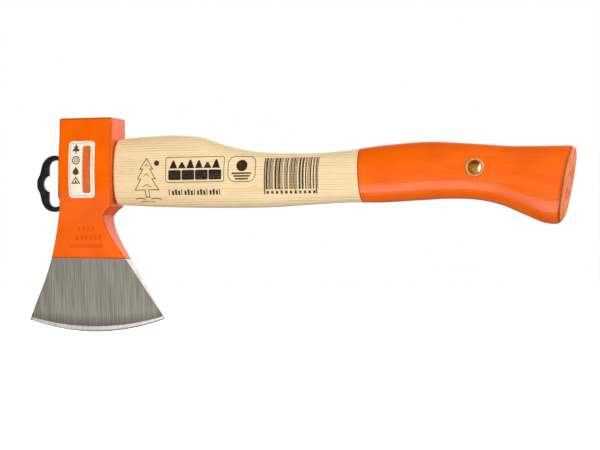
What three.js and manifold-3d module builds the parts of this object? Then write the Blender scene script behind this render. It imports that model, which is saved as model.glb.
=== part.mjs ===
import * as THREE from 'three';
import { mergeVertices } from 'three/addons/utils/BufferGeometryUtils.js';
import Module from 'manifold-3d';

// A camping hatchet with a wedged ash handle.
// Millimetres. X runs from the eye's top face (X = 0) along the handle to the knob, Y is across
// the head (the labelled cheek faces -Y), and Z is up from the lowest point of the cutting edge.

const wasm = await Module();
wasm.setup();

// ---- Driving dimensions ----

const GAP = 0.3; // between pieces that touch
const BEYOND_Y = 20; // past every surface on either side of the middle plane

// Head
const HEAD_WIDTH = 39.7; // across the eye, along the handle
const POLL_HEIGHT = 148.1; // from the cutting edge to the flat of the poll
const POLL_CORNER = 1.5;
const BROW_Z = 91; // where the flat face with the eye's top ends and the blade begins to flare
const EDGE_RADIUS = 157.5; // curve of the cutting edge
const EDGE_CENTRE_X = 22; // the edge's lowest point is under here
const TOE_X = -27.6;
const HEEL_X = 75;
const THROAT_X = 32.6; // narrowest place, just under the eye
const THROAT_Z = 80;
const CHIN_X = 38.6; // lower end of the side face, above the throat
const CHIN_Z = 86.4;
const SIDE_Z = 97; // above this the side face is straight
// Half thickness of the blade at a distance from the cutting edge, along the edge's radius
const BLADE_THICKNESS = [
  [0, 0.12], [3.6, 0.95], [13, 1.9], [27, 3.1], [42, 4.5], [54, 5.8], [62, 7.0], [70, 8.0],
  [79, 9.4], [86, 11.4], [93, 13.0], [101, 14.2], [110, 15],
];
// Half thickness of the cheeks at a height: they swell round the eye
const CHEEK_THICKNESS = [
  [60, 14.0], [92, 14.2], [104, 14.4], [115, 14.3], [124, 13.8], [132, 12.9], [139, 12.4],
  [149, 12.3],
];

// Eye and tongue
const EYE_CENTRE_Z = 110;
const EYE_HALF_HEIGHT = 20.2; // at the handle side
const EYE_HALF_WIDTH = 9.2;
const EYE_FLARE = 0.9; // the eye opens by this much all round towards its top face
const TONGUE_END_X = 0.6;

// Handle outlines above and below the eye's middle line, and the half width, all against X
const HANDLE_TOP = [
  [46, 23.7], [60, 24.6], [84, 25.1], [102, 23.3], [120, 17.5], [140, 13.2], [163, 11.4],
  [185, 11], [206, 12.4], [231, 15.3], [264, 17.2], [297, 15.1], [321, 13.3], [366, 12.9],
];
const HANDLE_BOTTOM = [
  [46, -22.6], [71, -23.9], [111, -25], [150, -25.1], [180, -23.7], [206, -22.5], [231, -22.7],
  [256, -21.6], [278, -20.8], [297, -21.8], [313, -25.5], [329, -32.2], [341, -37.1], [350, -37.9],
  [366, -34.8],
];
const HANDLE_HALF_WIDTH = [
  [46, 11.7], [62, 12.6], [100, 12.6], [150, 11.7], [216, 11.9], [264, 12.5], [300, 12.7],
  [336, 13.4], [366, 13.4],
];
const SHOULDER = [ // [X, top, bottom, half width] from the head's face to the handle's full size
  [40, 21.3, -21.3, 9.9], [40.5, 22.4, -21.9, 10.6], [41.7, 23.1, -22.4, 11.1],
  [43.5, 23.5, -22.6, 11.4],
];
const HANDLE_SQUARENESS = 2.35; // 2 is an ellipse, more is squarer
const HANDLE_STEP = 6.4; // between sections
const KNOB_END_X = 361; // the leaning end face passes here at the height of its upper corner
const KNOB_CORNER_Z = 9; // above the eye's middle line
const KNOB_END_LEAN = THREE.MathUtils.degToRad(10.7);

// Wedges in the tongue
const WEDGE_DEPTH = 27;
const WEDGE_HALF_THICK = 2.2; // at the tongue's end
const WEDGE_TIP_HALF_THICK = 0.6;
const RING_Z = 121.2;
const RING_RADIUS = 6.2;
const RING_WALL = 1.4;
const RING_TIP_WALL = 0.3;
const RING_DEPTH = 12;

// Hanger: a loop standing on a foot plate that lies on the eye's top face
const HANGER_CENTRE_Z = 103.2;
const FOOT_THICK = 2.4;
const FOOT_HALF_WIDTH = 8.2;
const FOOT_HALF_HEIGHT = 12;
const FOOT_CORNER = 4;
const LOOP_REACH = 22; // of the nose from the eye's top face
const LOOP_HALF_THICK = 1.7;

// Hanger screws
const SCREW_OFFSET_Y = 5; // one on each side of the wooden wedge
const SCREW_OFFSET_Z = 8; // above and below the hanger's middle line
const SCREW_HEAD_RADIUS = 2.6;
const SCREW_HEAD_DEPTH = 1.7;
const SCREW_SHANK_RADIUS = 1.4;
const SCREW_LENGTH = 15;
const SCREW_POINT = 2.5;

// Lanyard eyelet
const EYELET_X = 297.4;
const EYELET_Z = 109.1;
const BORE_RADIUS = 4.3;
const TUBE_RADIUS = 5.0;
const FLANGE_RADIUS = 6.5;
const FLANGE_SEAT_Y = 12.1; // the flanges bed this far from the middle plane
const FLANGE_THICK = 1.1;

// Label on the near cheek
const LABEL_MIN_X = 8.3;
const LABEL_MAX_X = 27.8;
const LABEL_MIN_Z = 92.6;
const LABEL_MAX_Z = 131.8;
const LABEL_CORNER = 2.8;
const LABEL_THICK = 0.25;

// ---- Solids and booleans ----

/** A three.js geometry as a solid for cutting and joining. */
function solid(geometry) {
  const bare = geometry.clone();
  bare.deleteAttribute('normal');
  bare.deleteAttribute('uv');
  const merged = mergeVertices(bare, 1e-4);
  return new wasm.Manifold(new wasm.Mesh({
    numProp: 3,
    vertProperties: new Float32Array(merged.attributes.position.array),
    triVerts: new Uint32Array(merged.index.array),
  }));
}

/** The named mesh of a solid. */
function piece(name, body, color, roughness, metalness) {
  const { vertProperties, triVerts } = body.getMesh();
  const geometry = new THREE.BufferGeometry();
  geometry.setAttribute('position', new THREE.BufferAttribute(new Float32Array(vertProperties), 3));
  geometry.setIndex(new THREE.BufferAttribute(new Uint32Array(triVerts), 1));
  geometry.computeVertexNormals();
  const mesh = new THREE.Mesh(geometry, new THREE.MeshStandardMaterial({ color, roughness, metalness }));
  mesh.name = name;
  return mesh;
}

/** A shape drawn in X and Z, extruded along Y from minY to maxY. */
function slab(shape, minY, maxY, curveSegments = 12) {
  const geometry = new THREE.ExtrudeGeometry(shape, {
    depth: maxY - minY, bevelEnabled: false, curveSegments,
  });
  return geometry.rotateX(Math.PI / 2).translate(0, maxY, 0);
}

/** A rectangle with round corners, centred at a point of its plane. */
function roundedRectangle(centreU, centreV, halfU, halfV, corner) {
  const shape = new THREE.Shape();
  shape.moveTo(centreU + halfU, centreV);
  const corners = [[1, 1, 0], [-1, 1, 90], [-1, -1, 180], [1, -1, 270]];
  for (const [sideU, sideV, start] of corners) {
    const from = THREE.MathUtils.degToRad(start);
    shape.absarc(
      centreU + sideU * (halfU - corner), centreV + sideV * (halfV - corner), corner,
      from, from + Math.PI / 2, false,
    );
  }
  shape.closePath();
  return shape;
}

/** A body turned about the Y axis, from a profile of [radius, height] points. */
function turned(profile, sides) {
  const points = profile.map(([radius, height]) => new THREE.Vector2(radius, height));
  return new THREE.LatheGeometry(points, sides);
}

/** A round bar along Y through (x, z). */
function barAlongY(x, z, radius, minY, maxY, sides = 40) {
  return new THREE.CylinderGeometry(radius, radius, maxY - minY, sides)
    .translate(x, (minY + maxY) / 2, z);
}

/** A value that follows a list of [position, value] points smoothly. */
function smoothLine(points) {
  const positions = new Float32Array(points.map(([at]) => at));
  const values = new Float32Array(points.map(([, value]) => value));
  const curve = new THREE.CubicInterpolant(positions, values, 1);
  return (at) => curve.evaluate(at)[0];
}

/** A power that keeps the sign, for ovals squarer than an ellipse. */
function signedPower(value, power) {
  return Math.sign(value) * Math.abs(value) ** power;
}

/** A bar along X with an oval section at each station { x, top, bottom, halfWidth }. */
function ovalBar(stations, squareness, sides = 36) {
  const last = stations.length - 1;
  const geometry = new THREE.CylinderGeometry(1, 1, 1, sides, last);
  const position = geometry.attributes.position;
  for (let i = 0; i < position.count; i += 1) {
    const { x, top, bottom, halfWidth } = stations[Math.round((0.5 - position.getY(i)) * last)];
    const across = signedPower(position.getX(i), 2 / squareness);
    const up = signedPower(position.getZ(i), 2 / squareness);
    position.setXYZ(i, x, across * halfWidth, (top + bottom) / 2 + (up * (top - bottom)) / 2);
  }
  return geometry;
}

// ---- Head ----

/** The head seen from the side: poll up, cutting edge down, throat and beard on the handle's side. */
function headOutline() {
  const edgeZ = (x) => EDGE_RADIUS - Math.sqrt(EDGE_RADIUS ** 2 - (x - EDGE_CENTRE_X) ** 2);
  const angleAt = (x) => Math.atan2(edgeZ(x) - EDGE_RADIUS, x - EDGE_CENTRE_X);
  const cornerZ = POLL_HEIGHT - POLL_CORNER;
  const shape = new THREE.Shape();
  shape.moveTo(0, BROW_Z);
  shape.quadraticCurveTo(-4.6, 59.5, -14.6, 35.8);
  shape.lineTo(TOE_X, edgeZ(TOE_X));
  shape.absarc(EDGE_CENTRE_X, EDGE_RADIUS, EDGE_RADIUS, angleAt(TOE_X), angleAt(HEEL_X), false);
  shape.lineTo(41.5, 59);
  shape.quadraticCurveTo(THROAT_X, 72.3, THROAT_X, THROAT_Z);
  shape.quadraticCurveTo(THROAT_X + 0.6, 83, CHIN_X, CHIN_Z);
  shape.lineTo(HEAD_WIDTH, SIDE_Z);
  shape.lineTo(HEAD_WIDTH, cornerZ);
  shape.absarc(HEAD_WIDTH - POLL_CORNER, cornerZ, POLL_CORNER, 0, Math.PI / 2, false);
  shape.absarc(POLL_CORNER, cornerZ, POLL_CORNER, Math.PI / 2, Math.PI, false);
  shape.closePath();
  return shape;
}

/** The blade's thickness turned about the edge's centre, so that the edge curves in one plane. */
function bladeThickness() {
  const near = BLADE_THICKNESS.map(([depth, half]) => [EDGE_RADIUS - depth, half]);
  near.push([1, near.at(-1)[1]]);
  const far = near.map(([radius, half]) => [radius, -half]).reverse();
  return turned([...near, ...far, near[0]], 144).translate(EDGE_CENTRE_X, 0, EDGE_RADIUS);
}

/** The cheeks' thickness, drawn out along X and grown by a margin. */
function cheekThickness(margin = 0) {
  const shape = new THREE.Shape();
  shape.moveTo(-CHEEK_THICKNESS[0][1] - margin, -1);
  shape.lineTo(CHEEK_THICKNESS[0][1] + margin, -1);
  CHEEK_THICKNESS.forEach(([height, half]) => shape.lineTo(half + margin, height));
  [...CHEEK_THICKNESS].reverse().forEach(([height, half]) => shape.lineTo(-half - margin, height));
  shape.closePath();
  return new THREE.ExtrudeGeometry(shape, { depth: 2 * HEAD_WIDTH + 80, bevelEnabled: false })
    .rotateX(Math.PI / 2)
    .rotateZ(Math.PI / 2)
    .translate(-40, 0, 0);
}

/** The stations of the eye, or of what fills it when it is drawn in by a margin. */
function eyeStations(fromX, toX, margin) {
  return [fromX, toX].map((x) => {
    const flare = EYE_FLARE * (1 - x / HEAD_WIDTH) - margin;
    const half = EYE_HALF_HEIGHT + flare;
    return {
      x, top: EYE_CENTRE_Z + half, bottom: EYE_CENTRE_Z - half, halfWidth: EYE_HALF_WIDTH + flare,
    };
  });
}

function axeHead() {
  const eye = ovalBar(eyeStations(-1, HEAD_WIDTH + 1, 0), HANDLE_SQUARENESS);
  return solid(slab(headOutline(), -BEYOND_Y, BEYOND_Y, 40))
    .intersect(solid(bladeThickness()))
    .intersect(solid(cheekThickness()))
    .subtract(solid(eye));
}

// ---- Handle and wedges ----

/** One section of the handle, given its upper and lower line from the eye's middle line. */
function section(x, top, bottom, halfWidth) {
  return { x, top: EYE_CENTRE_Z + top, bottom: EYE_CENTRE_Z + bottom, halfWidth };
}

/** The blank of the handle: tongue, shoulder, grip and knob, with no cuts. */
function handleBlank() {
  const top = smoothLine(HANDLE_TOP);
  const bottom = smoothLine(HANDLE_BOTTOM);
  const halfWidth = smoothLine(HANDLE_HALF_WIDTH);
  const start = HANDLE_TOP[0][0];
  const length = HANDLE_TOP.at(-1)[0] - start;
  const steps = Math.round(length / HANDLE_STEP);
  const stations = eyeStations(TONGUE_END_X, HEAD_WIDTH, GAP);
  SHOULDER.forEach((sizes) => stations.push(section(...sizes)));
  for (let i = 0; i <= steps; i += 1) {
    const x = start + (i * length) / steps;
    stations.push(section(x, top(x), bottom(x), halfWidth(x)));
  }
  return solid(ovalBar(stations, HANDLE_SQUARENESS));
}

/** Everything beyond the knob's leaning end face. */
function beyondKnob() {
  const size = 4 * BEYOND_Y;
  return new THREE.BoxGeometry(size, size, 2 * size)
    .translate(size / 2, 0, 0)
    .rotateY(KNOB_END_LEAN)
    .translate(KNOB_END_X, 0, EYE_CENTRE_Z + KNOB_CORNER_Z);
}

/** The wooden wedge before it is trimmed to the eye, or the kerf for it when a margin is given. */
function wedgeBlank(margin = 0) {
  const shape = new THREE.Shape();
  const outer = TONGUE_END_X - (margin > 0 ? 1 : 0);
  shape.moveTo(outer, WEDGE_HALF_THICK + margin);
  shape.lineTo(outer, -WEDGE_HALF_THICK - margin);
  shape.lineTo(WEDGE_DEPTH + margin, -WEDGE_TIP_HALF_THICK - margin);
  shape.lineTo(WEDGE_DEPTH + margin, WEDGE_TIP_HALF_THICK + margin);
  shape.closePath();
  const height = 3 * EYE_HALF_HEIGHT; // well past the eye above and below
  return new THREE.ExtrudeGeometry(shape, { depth: height, bevelEnabled: false })
    .translate(0, 0, EYE_CENTRE_Z - height / 2);
}

/** The ring wedge, or the groove for it when a margin is given. */
function ringBlank(margin = 0) {
  const outer = TONGUE_END_X - (margin > 0 ? 1 : 0);
  const middle = RING_RADIUS - RING_WALL / 2;
  const half = RING_WALL / 2 + margin;
  const tipHalf = RING_TIP_WALL / 2 + margin;
  const depth = RING_DEPTH + margin;
  const profile = [
    [middle + half, outer], [middle - half, outer],
    [middle - tipHalf, depth], [middle + tipHalf, depth], [middle + half, outer],
  ].reverse();
  return turned(profile, 40).rotateZ(-Math.PI / 2).translate(0, 0, RING_Z);
}

function handle() {
  let body = handleBlank()
    .subtract(solid(beyondKnob()))
    .subtract(solid(wedgeBlank(GAP)))
    .subtract(solid(ringBlank(GAP)))
    .subtract(solid(barAlongY(EYELET_X, EYELET_Z, TUBE_RADIUS + GAP, -BEYOND_Y, BEYOND_Y)));
  for (const [minY, maxY] of [[-BEYOND_Y, -FLANGE_SEAT_Y], [FLANGE_SEAT_Y, BEYOND_Y]]) {
    body = body.subtract(solid(barAlongY(EYELET_X, EYELET_Z, FLANGE_RADIUS + GAP, minY, maxY)));
  }
  for (const screw of screwPlaces()) {
    body = body.subtract(screwHole(screw));
  }
  return body;
}

function woodenWedge() {
  const filling = ovalBar(eyeStations(TONGUE_END_X, HEAD_WIDTH, GAP), HANDLE_SQUARENESS);
  return solid(wedgeBlank())
    .intersect(solid(filling))
    .subtract(solid(ringBlank(GAP)));
}

// ---- Hanger and its screws ----

/** A closed path that is the same below the hanger's middle line as above it. */
function mirroredPath(path, start, arcs) {
  const place = ([u, v], side) => [u, HANGER_CENTRE_Z + side * v];
  path.moveTo(...place(start, 1));
  arcs.forEach(([a, b, end]) => {
    path.bezierCurveTo(...place(a, 1), ...place(b, 1), ...place(end, 1));
  });
  for (let i = arcs.length - 1; i >= 0; i -= 1) {
    const [a, b] = arcs[i];
    const end = i > 0 ? arcs[i - 1][2] : start;
    path.bezierCurveTo(...place(b, -1), ...place(a, -1), ...place(end, -1));
  }
  path.closePath();
  return path;
}

/** The loop from the side: round shoulders, a nose, and a slot with a round hook notch. */
function hangerLoop() {
  const root = -GAP - FOOT_THICK / 2;
  const slotEnd = -GAP - FOOT_THICK - 0.3;
  const outer = mirroredPath(new THREE.Shape(), [root, FOOT_HALF_HEIGHT - 0.4], [
    [[-1.9, 16.5], [-4.6, 19.8], [-8.4, 19.8]],
    [[-13.8, 19.8], [-17.6, 16.4], [-18.8, 11]],
    [[-19.6, 7.2], [-20, 6], [-20.9, 4.8]],
    [[-21.7, 3.4], [-LOOP_REACH, 2], [-LOOP_REACH, 0]],
  ]);
  const slot = mirroredPath(new THREE.Path(), [slotEnd, 10.8], [
    [[slotEnd, 14], [-4.9, 16.3], [-7.4, 16.3]],
    [[-11.1, 16.3], [-13, 14.4], [-13, 10.5]],
    [[-13, 8.5], [-13, 7], [-13, 5.6]],
    [[-15.8, 5], [-17.3, 2.8], [-17.3, 0]],
  ]);
  outer.holes.push(slot);
  return slab(outer, -LOOP_HALF_THICK, LOOP_HALF_THICK, 6);
}

/** The foot plate, lying on the eye's top face. */
function hangerFoot() {
  const shape = roundedRectangle(0, HANGER_CENTRE_Z, FOOT_HALF_WIDTH, FOOT_HALF_HEIGHT, FOOT_CORNER);
  return new THREE.ExtrudeGeometry(shape, { depth: FOOT_THICK, bevelEnabled: false, curveSegments: 6 })
    .rotateX(Math.PI / 2)
    .rotateZ(Math.PI / 2)
    .translate(-GAP - FOOT_THICK, 0, 0);
}

/** Where each screw's head lies flush with the foot plate's outer face. */
function screwPlaces() {
  return [
    { name: 'hanger_screw_upper', y: SCREW_OFFSET_Y, z: HANGER_CENTRE_Z + SCREW_OFFSET_Z },
    { name: 'hanger_screw_lower', y: -SCREW_OFFSET_Y, z: HANGER_CENTRE_Z - SCREW_OFFSET_Z },
  ];
}

/** A countersunk wood screw along X, grown by a margin when it is used as the hole for one. */
function screwBlank({ y, z }, margin = 0) {
  const profile = [
    [0, -margin], [SCREW_HEAD_RADIUS + margin, -margin], [SCREW_SHANK_RADIUS + margin, SCREW_HEAD_DEPTH],
    [SCREW_SHANK_RADIUS + margin, SCREW_LENGTH - SCREW_POINT], [0, SCREW_LENGTH + margin],
  ];
  return turned(profile, 20)
    .rotateZ(-Math.PI / 2)
    .translate(-GAP - FOOT_THICK, y, z);
}

function screwHole(place) {
  return solid(screwBlank(place, GAP));
}

function hanger() {
  let body = solid(hangerLoop()).add(solid(hangerFoot()));
  for (const place of screwPlaces()) {
    body = body.subtract(screwHole(place));
  }
  return body;
}

// ---- Eyelet ----

/** The flanged tube: its flange lies on the near side and its other end passes the far ring. */
function eyeletBarrel() {
  const bottom = FLANGE_SEAT_Y + GAP;
  const profile = [
    [BORE_RADIUS, -bottom - FLANGE_THICK], [FLANGE_RADIUS, -bottom - FLANGE_THICK],
    [FLANGE_RADIUS, -bottom], [TUBE_RADIUS, -bottom], [TUBE_RADIUS, bottom + FLANGE_THICK],
    [BORE_RADIUS, bottom + FLANGE_THICK], [BORE_RADIUS, -bottom - FLANGE_THICK],
  ];
  return solid(turned(profile, 40).translate(EYELET_X, 0, EYELET_Z));
}

/** The ring on the far side that the tube is set into. */
function eyeletRing() {
  const bottom = FLANGE_SEAT_Y + GAP;
  const inner = TUBE_RADIUS + GAP;
  const profile = [
    [inner, bottom], [FLANGE_RADIUS, bottom], [FLANGE_RADIUS, bottom + FLANGE_THICK],
    [inner, bottom + FLANGE_THICK], [inner, bottom],
  ];
  return solid(turned(profile, 40).translate(EYELET_X, 0, EYELET_Z));
}

// ---- Label ----

/** A thin foil that follows the near cheek. */
function cheekLabel() {
  const halfX = (LABEL_MAX_X - LABEL_MIN_X) / 2;
  const halfZ = (LABEL_MAX_Z - LABEL_MIN_Z) / 2;
  const outline = roundedRectangle(
    LABEL_MIN_X + halfX, LABEL_MIN_Z + halfZ, halfX, halfZ, LABEL_CORNER,
  );
  return solid(slab(outline, -BEYOND_Y, 0, 6))
    .intersect(solid(cheekThickness(GAP + LABEL_THICK)))
    .subtract(solid(cheekThickness(GAP)));
}

// ---- The hatchet ----

const hatchet = new THREE.Group();
hatchet.add(
  piece('axe_head', axeHead(), '#e96a12', 0.45, 0),
  piece('handle', handle(), '#ecd2a4', 0.6, 0),
  piece('wooden_wedge', woodenWedge(), '#c99d63', 0.7, 0),
  piece('ring_wedge', solid(ringBlank()), '#9a9a96', 0.4, 1),
  piece('hanger', hanger(), '#191919', 0.5, 0),
  piece('eyelet_barrel', eyeletBarrel(), '#c9a35a', 0.35, 1),
  piece('eyelet_ring', eyeletRing(), '#c9a35a', 0.35, 1),
  piece('cheek_label', cheekLabel(), '#f2efe8', 0.5, 0),
);
for (const place of screwPlaces()) {
  hatchet.add(piece(place.name, solid(screwBlank(place)), '#b9bab6', 0.35, 1));
}

// The origin is in the head's middle plane, under the middle of the hatchet's length, at the
// level of the cutting edge's lowest point.
const root = new THREE.Group();
root.add(hatchet);
const box = new THREE.Box3().setFromObject(hatchet);
hatchet.position.x = -box.getCenter(new THREE.Vector3()).x;

export default root;
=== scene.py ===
"""Looks of a camping hatchet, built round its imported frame.

Every piece is drawn in the hatchet's own millimetres: X runs from the eye's top face along the
handle to the knob, Y goes across the head with the labelled cheek on -Y, and Z is up from the
lowest point of the cutting edge. Datum.matrix puts a finished piece into the shared frame.
"""

import sys

import logging
import math
import random
from bisect import bisect_right
from collections.abc import Callable, Mapping, Sequence
from dataclasses import dataclass, field
from enum import Enum, IntEnum

import bmesh
import bpy
from mathutils import Matrix, Vector, noise
from mathutils.geometry import interpolate_bezier


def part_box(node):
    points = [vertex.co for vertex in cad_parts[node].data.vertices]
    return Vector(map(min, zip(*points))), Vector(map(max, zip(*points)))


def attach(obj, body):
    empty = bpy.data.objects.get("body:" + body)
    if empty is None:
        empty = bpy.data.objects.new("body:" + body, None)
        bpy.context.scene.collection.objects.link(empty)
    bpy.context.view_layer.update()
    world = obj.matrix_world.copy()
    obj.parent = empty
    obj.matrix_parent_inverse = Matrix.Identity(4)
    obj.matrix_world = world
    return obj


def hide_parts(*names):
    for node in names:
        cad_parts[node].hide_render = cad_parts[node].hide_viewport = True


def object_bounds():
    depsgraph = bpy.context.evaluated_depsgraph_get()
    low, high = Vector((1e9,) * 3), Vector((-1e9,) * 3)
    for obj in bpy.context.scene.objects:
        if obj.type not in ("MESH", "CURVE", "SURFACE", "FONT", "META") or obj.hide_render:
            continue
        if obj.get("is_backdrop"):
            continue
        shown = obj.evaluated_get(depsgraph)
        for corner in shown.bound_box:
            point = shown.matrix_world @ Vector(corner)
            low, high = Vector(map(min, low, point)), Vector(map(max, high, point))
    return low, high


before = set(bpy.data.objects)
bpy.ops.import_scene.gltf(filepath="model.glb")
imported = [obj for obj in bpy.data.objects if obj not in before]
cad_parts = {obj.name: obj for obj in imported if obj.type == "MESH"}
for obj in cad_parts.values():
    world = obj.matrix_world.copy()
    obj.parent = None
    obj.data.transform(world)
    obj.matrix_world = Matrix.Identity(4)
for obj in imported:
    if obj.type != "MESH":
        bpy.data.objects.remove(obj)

MM = 0.001
PER_MM = 1000.0  # pattern cells per metre when one cell is a millimetre
BODY = "root"
TONGUE_END = 0.6  # mm from the eye's top face to the sunk end of the handle's tongue
LOOK_ASIDE = 0.0059  # m from the middle of the hatchet's box to the point looked at
LOOK_HEIGHT = 0.07275  # m from the floor to the point looked at

log = logging.getLogger("hatchet")

Flat = tuple[float, float]
Height = Callable[[float], float]
Surface = Callable[[float, float], float]
Mark = Callable[[Vector], float]
Tree = bpy.types.NodeTree
Socket = bpy.types.NodeSocket
Node = bpy.types.Node
Shape = bmesh.types.BMesh


class Axis(Enum):
    """A direction of the shared frame."""

    X = (1.0, 0.0, 0.0)
    Y = (0.0, 1.0, 0.0)
    Z = (0.0, 0.0, 1.0)


class Joining(Enum):
    """How one solid is worked into another."""

    CUT = "DIFFERENCE"
    WELD = "UNION"


class HeadFace(IntEnum):
    """The head's finishes, numbered in the order that Head.build lists them."""

    CHEEK = 0
    BLADE = 1
    BEVEL = 2
    EYE = 3
    FILED = 4
    FORGED = 5
    STAMP = 6


class HandleFace(IntEnum):
    """The handle's finishes, numbered in the order that Handle.build lists them."""

    WOOD = 0
    GRIP = 1
    END = 2


class Slot(Enum):
    """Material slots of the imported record."""

    HEAD = "head_lacquer"
    HANDLE = "handle_ash"
    WEDGE_WOOD = "wedge_wood"
    WEDGE_STEEL = "wedge_steel"
    HANGER = "hanger_plastic"
    SCREW = "screw_zinc"
    EYELET = "eyelet_brass"
    LABEL = "label_foil"


# ---- Finishes ----

COLOURS = {"data_type": "RGBA"}  # makes a mix node mix colours


def linear(hex_colour: str) -> tuple[float, float, float, float]:
    """Turns an sRGB hex colour into linear light.

    Args:
        hex_colour: Six hex digits, with or without a leading hash.

    Returns:
        Linear red, green, blue and an alpha of 1.
    """
    digits = hex_colour.lstrip("#")
    channels = [int(digits[i:i + 2], 16) / 255 for i in (0, 2, 4)]
    red, green, blue = (c / 12.92 if c <= 0.04045 else ((c + 0.055) / 1.055) ** 2.4 for c in channels)
    return (red, green, blue, 1.0)


def cells(*sizes: float) -> tuple[float, ...]:
    """The Mapping scale that gives a pattern cells of these sizes in millimetres."""
    return tuple(PER_MM / size for size in sizes)


def add(
    tree: Tree,
    kind: str,
    settings: Mapping[str, object] | None = None,
    inputs: Mapping[str | int, object] | None = None,
) -> Node:
    """Adds one node with its settings, constants and incoming links.

    Args:
        tree: The node tree that gets the node.
        kind: Blender's name of the node type, after its usual prefix.
        settings: Properties of the node.
        inputs: For each input, by name or number: a constant, a socket to link from, or a node
            whose first output is linked.

    Returns:
        The new node.
    """
    made = tree.nodes.new(f"ShaderNode{kind}")
    for name, value in (settings or {}).items():
        setattr(made, name, value)
    for name, value in (inputs or {}).items():
        source = value.outputs[0] if isinstance(value, Node) else value
        if isinstance(source, Socket):
            tree.links.new(source, made.inputs[name])
        else:
            made.inputs[name].default_value = source
    return made


@dataclass(frozen=True)
class Finish:
    """What every finish shares: a name, and a surface shader on its own node tree."""

    name: str

    def material(self) -> bpy.types.Material:
        """Builds the material once and returns it every time after.

        Returns:
            The material.
        """
        made = bpy.data.materials.get(self.name)
        if made is None:
            made = bpy.data.materials.new(self.name)
            made.use_nodes = True
            tree = made.node_tree
            tree.nodes.clear()
            place = add(tree, "TexCoord").outputs["Object"]
            add(tree, "OutputMaterial", inputs={"Surface": self.shader(tree, place)})
        return made

    def shader(self, tree: Tree, place: Socket) -> Node:
        """Adds the finish's nodes.

        Args:
            tree: The material's empty node tree.
            place: The object's own coordinates in metres.

        Returns:
            The node whose first output is the surface.
        """
        raise NotImplementedError


@dataclass(frozen=True)
class SprayLacquer(Finish):
    """Orange nitro lacquer sprayed on the head's machined cheeks.

    The coat is glossy but thin: the steel's low spots show through as soft dimples, and fine
    orange peel breaks up the reflections. Painted shade darkens it along the rounded edges and
    just above the line where it was ground away.
    """

    name: str = "orange_lacquer_sprayed_on_steel"
    colour: str = "#F26404"
    shade: str = "#E95C04"
    # painted shade colour for the rounded edges and just above the ground-away line
    thin: str = "#9E4312"
    peel_mm: float = 0.9
    pit_mm: float = 3.6
    pit_depth_mm: float = 0.1
    roughness: Flat = (0.12, 0.2)
    mirror: float = 0.2  # 0.5 would mirror as much as the IOR says

    def shader(self, tree: Tree, place: Socket) -> Node:
        """Adds the lacquer's nodes.

        Args:
            tree: The empty node tree.
            place: Coordinates in metres.

        Returns:
            The surface shader.
        """
        cloud = add(tree, "TexNoise", inputs={
            "Vector": add(tree, "Mapping", inputs={0: place, "Scale": cells(16, 16, 22)}),
            "Scale": 1.0,
        })
        tone = add(tree, "MapRange", inputs={0: cloud, 1: 0.35, 2: 0.7})
        coat = add(tree, "Mix", COLOURS, {
            0: tone, 6: linear(self.colour), 7: linear(self.shade),
        })
        # Painted shade: darker just above the line where the lacquer was ground away, and along the
        # rounded edges (the crease mark).
        above = add(tree, "Attribute", {"attribute_name": "line_mm"}).outputs["Fac"]
        ground = add(tree, "MapRange", inputs={0: above, 1: 0.5, 2: 1.5, 3: 0.8, 4: 0.0})
        crease = add(tree, "Attribute", {"attribute_name": "crease"}).outputs["Fac"]
        edge = add(tree, "Math", {"operation": "MULTIPLY"}, {0: crease, 1: 0.7})
        bare = add(tree, "Math", {"operation": "MAXIMUM"}, {0: ground, 1: edge})
        colour = add(tree, "Mix", COLOURS, {
            0: bare, 6: coat.outputs[2], 7: linear(self.thin),
        })
        peel = add(tree, "TexNoise", inputs={
            "Vector": place, "Scale": PER_MM / self.peel_mm, "Detail": 1.0,
        })
        pits = add(tree, "TexNoise", inputs={
            "Vector": place, "Scale": PER_MM / self.pit_mm, "Detail": 3.0,
        })
        dents = add(tree, "MapRange", inputs={0: pits, 1: 0.4, 2: 0.64})
        fine = add(tree, "Bump", inputs={
            "Height": peel, "Strength": 0.12, "Distance": 0.05 * MM,
        })
        bump = add(tree, "Bump", inputs={
            "Height": dents, "Strength": 0.35, "Distance": self.pit_depth_mm * MM, "Normal": fine,
        })
        gloss = add(tree, "MapRange", inputs={
            0: pits, 1: 0.3, 2: 0.7, 3: self.roughness[0], 4: self.roughness[1],
        })
        return add(tree, "BsdfPrincipled", inputs={
            "Base Color": colour.outputs[2], "Roughness": gloss, "IOR": 1.48,
            "Specular IOR Level": self.mirror, "Normal": bump,
        })


@dataclass(frozen=True)
class RawForging(SprayLacquer):
    """The same lacquer on the narrow sides, which were left as forged: lumpy scale under it."""

    name: str = "orange_lacquer_sprayed_on_raw_forging"
    shade: str = "#DD5208"
    pit_mm: float = 3.0
    pit_depth_mm: float = 0.2
    roughness: Flat = (0.2, 0.3)
    mirror: float = 0.3


@dataclass(frozen=True)
class PooledLacquer(SprayLacquer):
    """The same lacquer where it ran together in the stamped marks: thicker, so a deeper orange."""

    name: str = "orange_lacquer_pooled_in_stamps"
    colour: str = "#E25A05"
    shade: str = "#D95205"


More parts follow.
